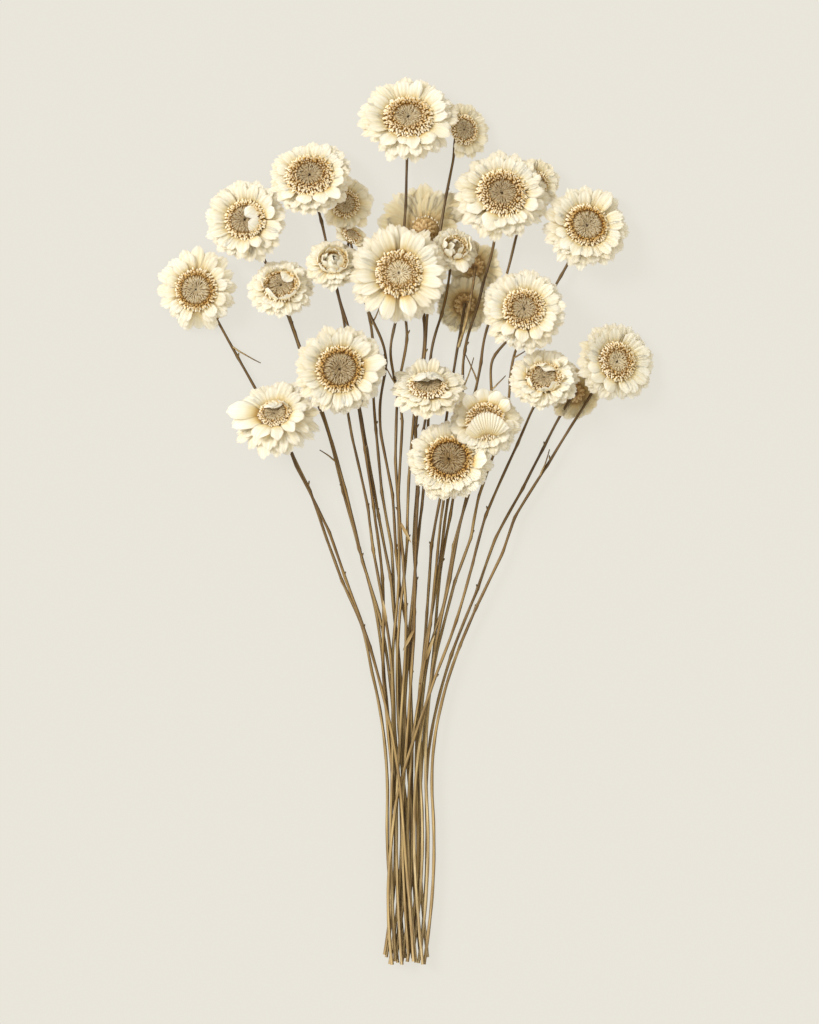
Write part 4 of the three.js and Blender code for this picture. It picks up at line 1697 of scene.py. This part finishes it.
@dataclass(frozen=True)
class PetalRow:
    """One row of petals round a disc.

    Attributes:
        count: How many petals a whole row has.
        share: The reach of its tips, as a share of the head's.
        width: The width of a petal.
        rise: The slope of a petal at its root.
        tip: Its slope at its tip.
        foot: The radius at its roots, in disc radii.
        drop: How far its roots lie below the disc.
        age: How aged its petals are, from 0 to 1; the higher ages of the outer rows are partly real fading
            and partly painted shade where these petals lie under others.
        filled: The share of its petals that are there.
        fan: The angle that the row fills.
    """

    count: int
    share: float
    width: float
    rise: float
    tip: float
    foot: float
    drop: float
    age: float
    filled: float = 1.0
    fan: float = 360.0


# The outer rows, and the rows of heads that lie face down under the stems, get more age: partly real
# fading, partly painted shade where these petals lie under others.
ROWS = {
    Form.OPEN: (
        PetalRow(23, 1.0, 7.5, 26, -12, foot=0.8, drop=3.0, age=0.42),
        PetalRow(22, 0.95, 7.4, 40, -2, foot=0.84, drop=2.4, age=0.25),
        PetalRow(19, 0.85, 7.0, 52, 10, foot=0.88, drop=1.7, age=0.12, filled=0.85),
    ),
    Form.DROOPED: (
        PetalRow(16, 1.0, 7.6, 8, -34, foot=0.8, drop=2.8, age=0.42),
        PetalRow(15, 0.93, 7.4, 26, -18, foot=0.84, drop=2.2, age=0.2, filled=0.85),
        PetalRow(12, 0.8, 7.0, 42, 0, foot=0.88, drop=1.6, age=0.1, filled=0.6),
    ),
    Form.CUP: (
        PetalRow(18, 1.0, 7.8, 14, -26, foot=0.78, drop=2.8, age=0.45),
        PetalRow(16, 0.92, 7.6, 28, -12, foot=0.82, drop=2.3, age=0.25),
        PetalRow(13, 0.8, 7.4, 44, 2, foot=0.86, drop=1.8, age=0.12, filled=0.8),
    ),
    Form.BACK: (
        PetalRow(14, 1.0, 10.0, 24, -8, foot=0.8, drop=2.4, age=0.85),
        PetalRow(13, 0.9, 9.0, 36, 4, foot=0.86, drop=1.6, age=0.75),
    ),
    Form.HALF: (
        PetalRow(13, 1.0, 8.6, 16, 0, foot=0.8, drop=2.2, age=0.7, fan=260),
        PetalRow(13, 0.88, 8.2, 30, 8, foot=0.86, drop=1.5, age=0.5, fan=260),
    ),
    Form.FALLEN: (
        PetalRow(18, 1.0, 9.6, 36, 14, foot=0.8, drop=0.8, age=0.9, fan=250),
        PetalRow(16, 0.9, 9.0, 40, 12, foot=0.86, drop=0.4, age=0.75, fan=250),
    ),
}


@dataclass(frozen=True)
class Crown:
    """Small petals in a ring, which stand or bend over a disc.

    Attributes:
        count: How many there are.
        foot: The radius at their roots, in disc radii.
        length: The length of one.
        width: Its width.
        rise: Its slope at its root.
        tip: Its slope at its tip.
    """

    count: int
    foot: float
    length: float
    width: float
    rise: float
    tip: float


CROWNS = {
    7: (Crown(10, 0.95, 6.0, 6.0, 72, 96),),
    8: (
        Crown(12, 1.0, 6.5, 5.0, 44, 96),
        Crown(10, 0.78, 6.0, 4.6, 56, 128),
        Crown(7, 0.5, 5.5, 4.4, 66, 146),
    ),
    15: (Crown(8, 1.0, 5.5, 4.6, 52, 112), Crown(6, 0.6, 5.0, 4.0, 60, 130)),
    20: (Crown(7, 1.0, 5.0, 5.0, 60, 84),),
}


@dataclass(frozen=True)
class Petal:
    """One petal: a thin blade with a toothed or a round tip, curved from its root to its tip."""

    turn: float
    foot: float
    height: float
    length: float
    width: float
    rise: float
    tip: float
    teeth: int
    seed: int
    age: float
    pleats: int = 0
    columns: int = 11
    rows: int = 8
    thickness: float = 0.18
    upright: float = 60.0

    def bent(self, lift: float, shorter: float) -> "Petal":
        """The same petal, lifted and shortened.

        Args:
            lift: How much steeper it stands.
            shorter: The share of its length that stays.

        Returns:
            The other petal.
        """
        rise, tip = self.rise + lift * 0.7, self.tip + lift * 1.2
        return replace(self, rise=rise, tip=tip, length=self.length * shorter)

    def made(self) -> tuple[np.ndarray, np.ndarray, np.ndarray]:
        """The closed petal: its points in the head's own frame, its faces and its grain."""
        return Sheet(self.grid(), self.thickness).closed()

    def grid(self) -> np.ndarray:
        """The middle surface of the petal.

        Returns:
            The points in the head's own frame, rows along and columns across.
        """
        rng = np.random.default_rng(self.seed)
        across = np.linspace(-1, 1, self.columns)[None, :]
        share = np.linspace(0, 1, self.rows)[:, None]
        along = share * self._edge(across, rng)
        fine = np.linspace(0, 1, 60)
        slope = slopes(fine, self.rise, self.tip)
        step = self.length / (len(fine) - 1)
        out = self.foot + np.concatenate([[0], np.cumsum(np.cos(slope[:-1]) * step)])
        up = self.height + np.concatenate([[0], np.cumsum(np.sin(slope[:-1]) * step)])
        radius, height = np.interp(along, fine, out), np.interp(along, fine, up)
        slant = np.interp(along, fine, slope)
        off = self._relief(across, along, rng)
        radius_off, height_off = radius - np.sin(slant) * off, height + np.cos(slant) * off
        side = across * self._half_width(share if self.pleats else along)
        if self.teeth:
            angle = math.radians(self.turn) + side / np.maximum(radius, 3.0)
            return polar(angle, radius_off, height_off)
        flat = np.stack([radius_off, side, height_off], axis=-1)
        return flat @ np.array([*ways(self.turn), UP])

    def _half_width(self, along: np.ndarray) -> np.ndarray:
        """Half the width of the petal.

        Args:
            along: Places along it, from 0 to 1.

        Returns:
            Half the width at each of them.
        """
        half = self.width / 2
        if self.pleats:
            return half * (0.14 + 0.86 * along**0.8)
        root, narrowing, start = (0.5, 0.26, 0.7) if self.teeth else (0.46, 0.3, 0.6)
        widening = np.sin(np.minimum(along / 0.72, 1) * np.pi / 2)
        narrower = 1 - narrowing * np.clip((along - start) / (1 - start), 0, 1) ** 2
        return half * (root + (1 - root) * widening) * narrower

    def _edge(self, across: np.ndarray, rng: np.random.Generator) -> np.ndarray:
        """How far out the edge of the tip lies.

        Args:
            across: Places across the petal, from -1 to 1.
            rng: The source of chance.

        Returns:
            The share of the length at each of them.
        """
        if self.pleats:
            scallops = 0.05 * (1 - np.abs(np.sin(np.pi * self.pleats * across / 2)))
            return 1 - 0.6 * np.abs(across) ** 2.2 - scallops
        if not self.teeth:
            lopsided = across + rng.uniform(-0.25, 0.25)
            ragged = 0.03 * rng.uniform(-1, 1, across.shape)
            return 1 - rng.uniform(0.26, 0.44) * np.abs(lopsided) ** 2.2 + ragged
        teeth = self.teeth + rng.integers(0, 2)
        start = rng.uniform(-0.15, 0.15) + (teeth % 2 == 0) / teeth
        wave = np.abs(np.cos(np.pi * teeth / 2 * (across + start)))
        depth = rng.uniform(0.05, 0.14)
        ragged = 0.018 * rng.uniform(-1, 1, across.shape)
        return 1 - rng.uniform(0.14, 0.3) * np.abs(across) ** 2.3 - depth * (1 - wave**0.7) - ragged

    def _relief(self, across: np.ndarray, along: np.ndarray, rng: np.random.Generator) -> np.ndarray:
        """How far the surface stands off its middle line: pleats, cup, twist and a ruffled end.

        Args:
            across: Places across the petal, from -1 to 1.
            along: Places along it, from 0 to 1.
            rng: The source of chance.

        Returns:
            How far it stands off at each of them.
        """
        if self.pleats:
            return 0.3 * np.cos(np.pi * self.pleats * across) * (0.2 + 0.8 * along) - 0.8 * across**2
        if not self.teeth:
            hollow = 1 if self.tip > self.upright else -1
            depth = hollow * rng.uniform(0.03, 0.1) * self.width
            cup = depth * across**2 * np.sin(np.pi * (0.1 + 0.85 * along))
            crease = 0.45 * np.sin(3.4 * across + 2.6 * along + rng.uniform(0, 6)) * along
            return cup + crease
        pleats = 0.17 * np.cos(np.pi * 2.7 * (across + rng.uniform(-0.15, 0.15))) * np.minimum(1, along * 2)
        cup = rng.uniform(-0.25, 0.35) * across**2 * (0.3 + 0.7 * along)
        twist = (0.22 + rng.uniform(-0.08, 0.08)) * across * (0.5 + 0.5 * along)
        ending = np.clip(along - 0.4, 0, 1) ** 1.5
        ruffle = rng.uniform(0.0, 0.5) * np.sin(2.2 * across + rng.uniform(0, 6)) * ending
        return pleats + cup + twist + ruffle


class Room:
    """What is already in place, so that a new petal can be bent clear of it."""

    LIFTS = (0, 4, -4, 8, -8, 13, -13, 18, -18, 24, -24, 30, -30, 38)
    LENGTHS = (1.0, 0.85, 0.7, 0.55)
    FLOOR = 0.1

    def __init__(self) -> None:
        """Starts with an empty surface."""
        self.trees: list[tuple[str, BVHTree, np.ndarray, np.ndarray]] = []

    def fill(self, owner: str, skin: Skin) -> None:
        """Puts something in place.

        Args:
            owner: The name of the flower that it belongs to.
            skin: Its surface.
        """
        points = np.concatenate(skin.points)
        faces = [face for group in skin.faces for face in group.tolist()]
        tree = BVHTree.FromPolygons(points.tolist(), faces)
        self.trees.append((owner, tree, points.min(axis=0), points.max(axis=0)))

    def is_clear(self, owner: str, points: np.ndarray, faces: list[list[int]]) -> bool:
        """Whether a new petal lies clear of the surface and of all other flowers.

        Args:
            owner: The name of its own flower.
            points: The petal's points in the bunch.
            faces: Its faces.

        Returns:
            True if nothing is in its way.
        """
        low, high = points.min(axis=0), points.max(axis=0)
        if low[2] < self.FLOOR:
            return False
        near = [
            tree
            for name, tree, least, most in self.trees
            if name != owner and (least <= high).all() and (most >= low).all()
        ]
        if not near:
            return True
        mine = BVHTree.FromPolygons(points.tolist(), faces)
        return not any(mine.overlap(tree) for tree in near)

    def choices(self) -> Iterator[tuple[float, float]]:
        """Each lift and shortening that a petal may try, the least change first."""
        return ((lift, shorter) for shorter in self.LENGTHS for lift in self.LIFTS)


@dataclass
class PetalRing:
    """All petals of one head."""

    one: Flower
    teeth: int = 3
    jitter: float = 3.5
    covered: float = 19.0
    lying_tip: float = 60.0
    last_covered: int = 2
    short_height: float = -0.7
    missing: int = 0

    def petals(self) -> Iterator[Petal]:
        """Makes the petals as they would stand with nothing in their way.

        Yields:
            Each petal, the outer row first.
        """
        rng = np.random.default_rng(400 + self.one.number)
        for index, row in enumerate(ROWS[self.one.form]):
            yield from self._row(index, row, rng)
        for crown in CROWNS.get(self.one.number, ()):
            yield from self._crown(crown, rng)
        for short in SHORT_PETALS.get(self.one.number, ()):
            yield self._round(short, rng)

    def _row(self, index: int, row: PetalRow, rng: np.random.Generator) -> Iterator[Petal]:
        """Makes the petals of one open row.

        Args:
            index: The number of the row, from 0.
            row: The row.
            rng: The source of chance.

        Yields:
            Each petal.
        """
        one = self.one
        foot = row.foot * one.disc
        for place in range(row.count):
            turn = one.turn + (place + (index % 2) / 2 + index * 0.13) * 360 / row.count
            if apart(turn, one.turn) > row.fan / 2 or rng.uniform() > row.filled:
                continue
            rise, tip = row.rise + rng.uniform(-4, 4), row.tip + rng.uniform(-8, 8)
            if self._is_covered(turn):
                if index == self.last_covered:
                    continue
                rise, tip = rise - 15, tip - 10
            outwards = np.cos(slopes(np.linspace(0, 1, 20), rise, tip)).mean()
            yield Petal(
                turn=turn + rng.uniform(-self.jitter, self.jitter),
                foot=foot,
                height=-row.drop * min(1.0, one.disc / 10),
                length=(row.share * one.reach - foot) * rng.uniform(0.85, 1.08) / outwards,
                width=row.width * min(1.0, 0.4 + one.reach / 40) * rng.uniform(0.86, 1.12),
                rise=rise,
                tip=tip,
                teeth=self.teeth,
                seed=int(rng.integers(1, 1_000_000)),
                age=float(np.clip(row.age + rng.uniform(-0.12, 0.12), 0, 1)),
            )

    def _is_covered(self, turn: float) -> bool:
        """Whether a short petal lies outwards in this direction."""
        shorts = SHORT_PETALS.get(self.one.number, ())
        return any(apart(turn, short.way) < self.covered for short in shorts if short.tip < self.lying_tip)

    def _crown(self, crown: Crown, rng: np.random.Generator) -> Iterator[Petal]:
        """Makes the petals of a crown.

        Args:
            crown: The crown.
            rng: The source of chance.

        Yields:
            Each petal.
        """
        for place in range(crown.count):
            turn = (place + rng.uniform(-0.25, 0.25)) * 360 / crown.count
            length = crown.length * rng.uniform(0.8, 1.2)
            tip = crown.tip + rng.uniform(-20, 20)
            yield self._round(ShortPetal(turn, crown.foot, length, crown.width, crown.rise, tip), rng)

    def _round(self, short: ShortPetal, rng: np.random.Generator) -> Petal:
        """Makes one short petal with a round tip.

        Args:
            short: Its sizes.
            rng: The source of chance.

        Returns:
            The petal.
        """
        return Petal(
            turn=short.way + rng.uniform(-3, 3),
            foot=short.foot * self.one.disc,
            height=self.short_height,
            length=short.length * rng.uniform(0.92, 1.08),
            width=short.width * rng.uniform(0.9, 1.1),
            rise=short.rise + rng.uniform(-5, 5),
            tip=short.tip + rng.uniform(-8, 8),
            teeth=0,
            seed=int(rng.integers(1, 1_000_000)),
            age=0.3 if short.pleats else 0.0,
            pleats=short.pleats,
            columns=4 * short.pleats + 1 if short.pleats else 11,
            rows=12 if short.pleats else 9,
        )

    def add_to(self, skin: Skin, room: Room) -> None:
        """Puts the petals into the skin of their piece, each bent clear of the other flowers.

        Args:
            skin: The skin.
            room: What is in place already.
        """
        rng = np.random.default_rng(500 + self.one.number)
        for petal in self.petals():
            found = self._clear(petal, room)
            if found is None:
                self.missing += 1
                continue
            points, faces, grain = found
            skin.add(points, [faces], with_tone(grain, rng.uniform()), petal.age, PETAL)

    def _clear(self, petal: Petal, room: Room) -> tuple[np.ndarray, np.ndarray, np.ndarray] | None:
        """Bends a petal until it is clear of the other flowers.

        Args:
            petal: The petal.
            room: What is in place already.

        Returns:
            Its points in the bunch, its faces and its grain, or None if it finds no room.
        """
        for lift, shorter in room.choices():
            points, faces, grain = petal.bent(lift, shorter).made()
            points = self.one.placed(points)
            if room.is_clear(self.one.name, points, faces.tolist()):
                return points, faces, grain
        return None


@dataclass
class Bunch:
    """The whole bunch: stems with their calyces, discs, and petals last.

    Attributes:
        finishes: The materials.
        routes: The middle lines of the stems.
        room: What is in place already.
        first_heads: Heads with petals folded so close to others that these make way for them.
        triangles: How many triangles the pieces have so far.
    """

    finishes: Finishes
    routes: StemRoutes = field(default_factory=StemRoutes)
    room: Room = field(default_factory=Room)
    first_heads: tuple[int, ...] = (26,)
    triangles: int = 0

    def build(self) -> None:
        """Builds every piece and reports it."""
        for one in FLOWERS:
            if not one.branch_of:
                self._wood(one)
        for one in FLOWERS:
            self._disc(one)
        for one in sorted(FLOWERS, key=lambda one: (one.number not in self.first_heads, -one.middle[2])):
            self._petals(one)

    def _wood(self, one: Flower) -> None:
        """Builds a stem with its calyx, and the branch that it carries.

        Args:
            one: The flower whose stem it is.
        """
        whole = Skin()
        for flower in (one, *(other for other in FLOWERS if other.branch_of == one.number)):
            skin = Skin()
            Stem(flower, self.routes).add_to(skin)
            Calyx(flower).add_to(skin)
            self.room.fill(flower.name, skin)
            whole.absorb(skin)
        self._keep(whole, f"{one.name}_wood", Slot.STEM, [f"{one.name}_stem"], self.finishes.wood)

    def _disc(self, one: Flower) -> None:
        """Builds the florets and filaments of a head.

        Args:
            one: The flower.
        """
        skin = Skin()
        Disc(one).add_to(skin)
        self.room.fill(one.name, skin)
        stem = f"flower_{one.branch_of or one.number:02d}_stem"
        self._keep(skin, f"{one.name}_florets", Slot.STEM, [stem], self.finishes.disc)

    def _petals(self, one: Flower) -> None:
        """Builds the petals of a head.

        Args:
            one: The flower.
        """
        skin = Skin()
        ring = PetalRing(one)
        ring.add_to(skin, self.room)
        self.room.fill(one.name, skin)
        self._keep(skin, f"{one.name}_blades", Slot.PETALS, [f"{one.name}_petals"], self.finishes.petals)
        if ring.missing:
            LOG.info("%s: %d petals found no room", one.name, ring.missing)

    def _keep(
        self, skin: Skin, name: str, slot: Slot, nodes: list[str], finishes: list[Material]
    ) -> None:
        """Makes a piece, sets it on its body, hides the nodes of the part that it replaces and reports it.

        Args:
            skin: Its skin.
            name: Its name.
            slot: Its material slot in the record; not used.
            nodes: The nodes of the part that it replaces.
            finishes: Its materials.
        """
        made = skin.piece(name, finishes)
        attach(made, BODY)
        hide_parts(*nodes)
        triangles = sum(len(faces) * (faces.shape[1] - 2) for faces in skin.faces)
        self.triangles += triangles
        LOG.info("%s: %d triangles, %d in all", name, triangles, self.triangles)


@dataclass(frozen=True)
class Studio:
    """A pale surface that curves up far out, soft light from the upper left, and the camera above.

    Attributes:
        photo_size: Width and height of the picture in pixels.
        photo_origin: The pixel that lies at x = 0, y = 0 of the flowers' frame.
        scale: Millimetres per pixel.
        distance: From the camera to the flowers, in metres.
        clip: The nearest and the farthest that the camera sees, in metres.
        aim_height: The height above the surface at which the scale holds.
        flat_radii: The rings of the flat surface, in metres.
        floor_colour: The colour that the surface adds to the light that falls on it.
        floor_glow: The even glow that it has besides.
    """

    photo_size: tuple[int, int] = (819, 1024)
    photo_origin: tuple[float, float] = (406.0, 521.5)
    scale: float = 0.5
    distance: float = 3.0
    sensor: float = 36.0
    clip: tuple[float, float] = (0.05, 30.0)
    aim_height: float = 12.0
    flat_radii: Triple = (0.5, 2.0, 5.0)
    wall_radius: float = 11.0
    wall_height: float = 5.0
    wall_steps: int = 13
    sides: int = 64
    floor_colour: Colour = (0.08, 0.08, 0.08, 1.0)
    floor_glow: Colour = (0.717, 0.690, 0.616, 1.0)
    world_colour: Colour = (1.0, 0.94, 0.81, 1.0)
    world_strength: float = 0.8
    sun_strength: float = 2.3
    sun_angle: float = 24.0
    sun_way: Triple = (-0.85, 0.45, 0.75)

    def build(self) -> None:
        """Builds the surface, the lights and the camera."""
        self._surface()
        self._lights()
        self._camera()
        LOG.info("studio: surface, lights and camera")

    def _surface(self) -> None:
        """Builds a round surface, flat under the bunch, with its rim raised far away."""
        flat = self.flat_radii
        share = np.linspace(0, 1, self.wall_steps + 1)[1:]
        radii = np.concatenate([flat, flat[-1] + (self.wall_radius - flat[-1]) * share])
        heights = np.concatenate([np.zeros(len(flat)), self.wall_height * share**2])
        turn = 2 * np.pi * np.arange(self.sides) / self.sides
        ring = polar(turn[None, :], radii[:, None], heights[:, None]).reshape(-1, 3)
        quads = ring_faces(len(radii), self.sides)[0][:, [0, 3, 2, 1]]
        mesh = bpy.data.meshes.new("tabletop")
        mesh.from_pydata(ring.tolist(), [], [list(range(self.sides)), *quads.tolist()])
        mesh.shade_smooth()
        made = bpy.data.objects.new("tabletop", mesh)
        bpy.context.scene.collection.objects.link(made)
        material = bpy.data.materials.new("pale_tabletop")
        material.use_nodes = True
        surface = material.node_tree.nodes["Principled BSDF"]
        surface.inputs["Base Color"].default_value = self.floor_colour
        surface.inputs["Roughness"].default_value = 0.9
        surface.inputs["Specular IOR Level"].default_value = 0.0
        surface.inputs["Emission Color"].default_value = self.floor_glow
        surface.inputs["Emission Strength"].default_value = 1.0
        mesh.materials.append(material)
        made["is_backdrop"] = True

    def _lights(self) -> None:
        """Sets even light all round, and one wide soft light from the upper left."""
        world = bpy.data.worlds.new("studio")
        world.use_nodes = True
        background = world.node_tree.nodes["Background"]
        background.inputs["Color"].default_value = self.world_colour
        background.inputs["Strength"].default_value = self.world_strength
        bpy.context.scene.world = world
        lamp = bpy.data.lights.new("window", "SUN")
        lamp.energy = self.sun_strength
        lamp.angle = math.radians(self.sun_angle)
        made = bpy.data.objects.new("window", lamp)
        made.rotation_mode = "QUATERNION"
        made.rotation_quaternion = Vector(self.sun_way).to_track_quat("Z", "Y")
        bpy.context.scene.collection.objects.link(made)

    def _camera(self) -> None:
        """Sets a camera straight above, whose picture takes in what the photograph does."""
        width, height = self.photo_size
        x = (width / 2 - self.photo_origin[0]) * self.scale - ORIGIN[0]
        y = (self.photo_origin[1] - height / 2) * self.scale - ORIGIN[1]
        lens = bpy.data.cameras.new("camera")
        lens.sensor_width = self.sensor
        lens.lens = self.sensor * self.distance / (height * self.scale * MM)
        lens.clip_start, lens.clip_end = self.clip
        made = bpy.data.objects.new("camera", lens)
        made.location = (x * MM, y * MM, self.distance + self.aim_height * MM)
        bpy.context.scene.collection.objects.link(made)
        bpy.context.scene.camera = made
        bpy.context.scene.view_settings.view_transform = "Standard"


def write_sizes() -> None:
    """Works out the box of the part and the box of the finished bunch."""
    boxes = {"cad": CAD_BOX, "visual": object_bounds()}
    plain = {name: [list(corner) for corner in box] for name, box in boxes.items()}


def main() -> None:
    """Builds the bunch and the studio."""
    logging.basicConfig(level=logging.INFO, format="%(message)s")
    Bunch(Finishes()).build()
    Studio().build()
    write_sizes()


if __name__ == "__main__":
    main()
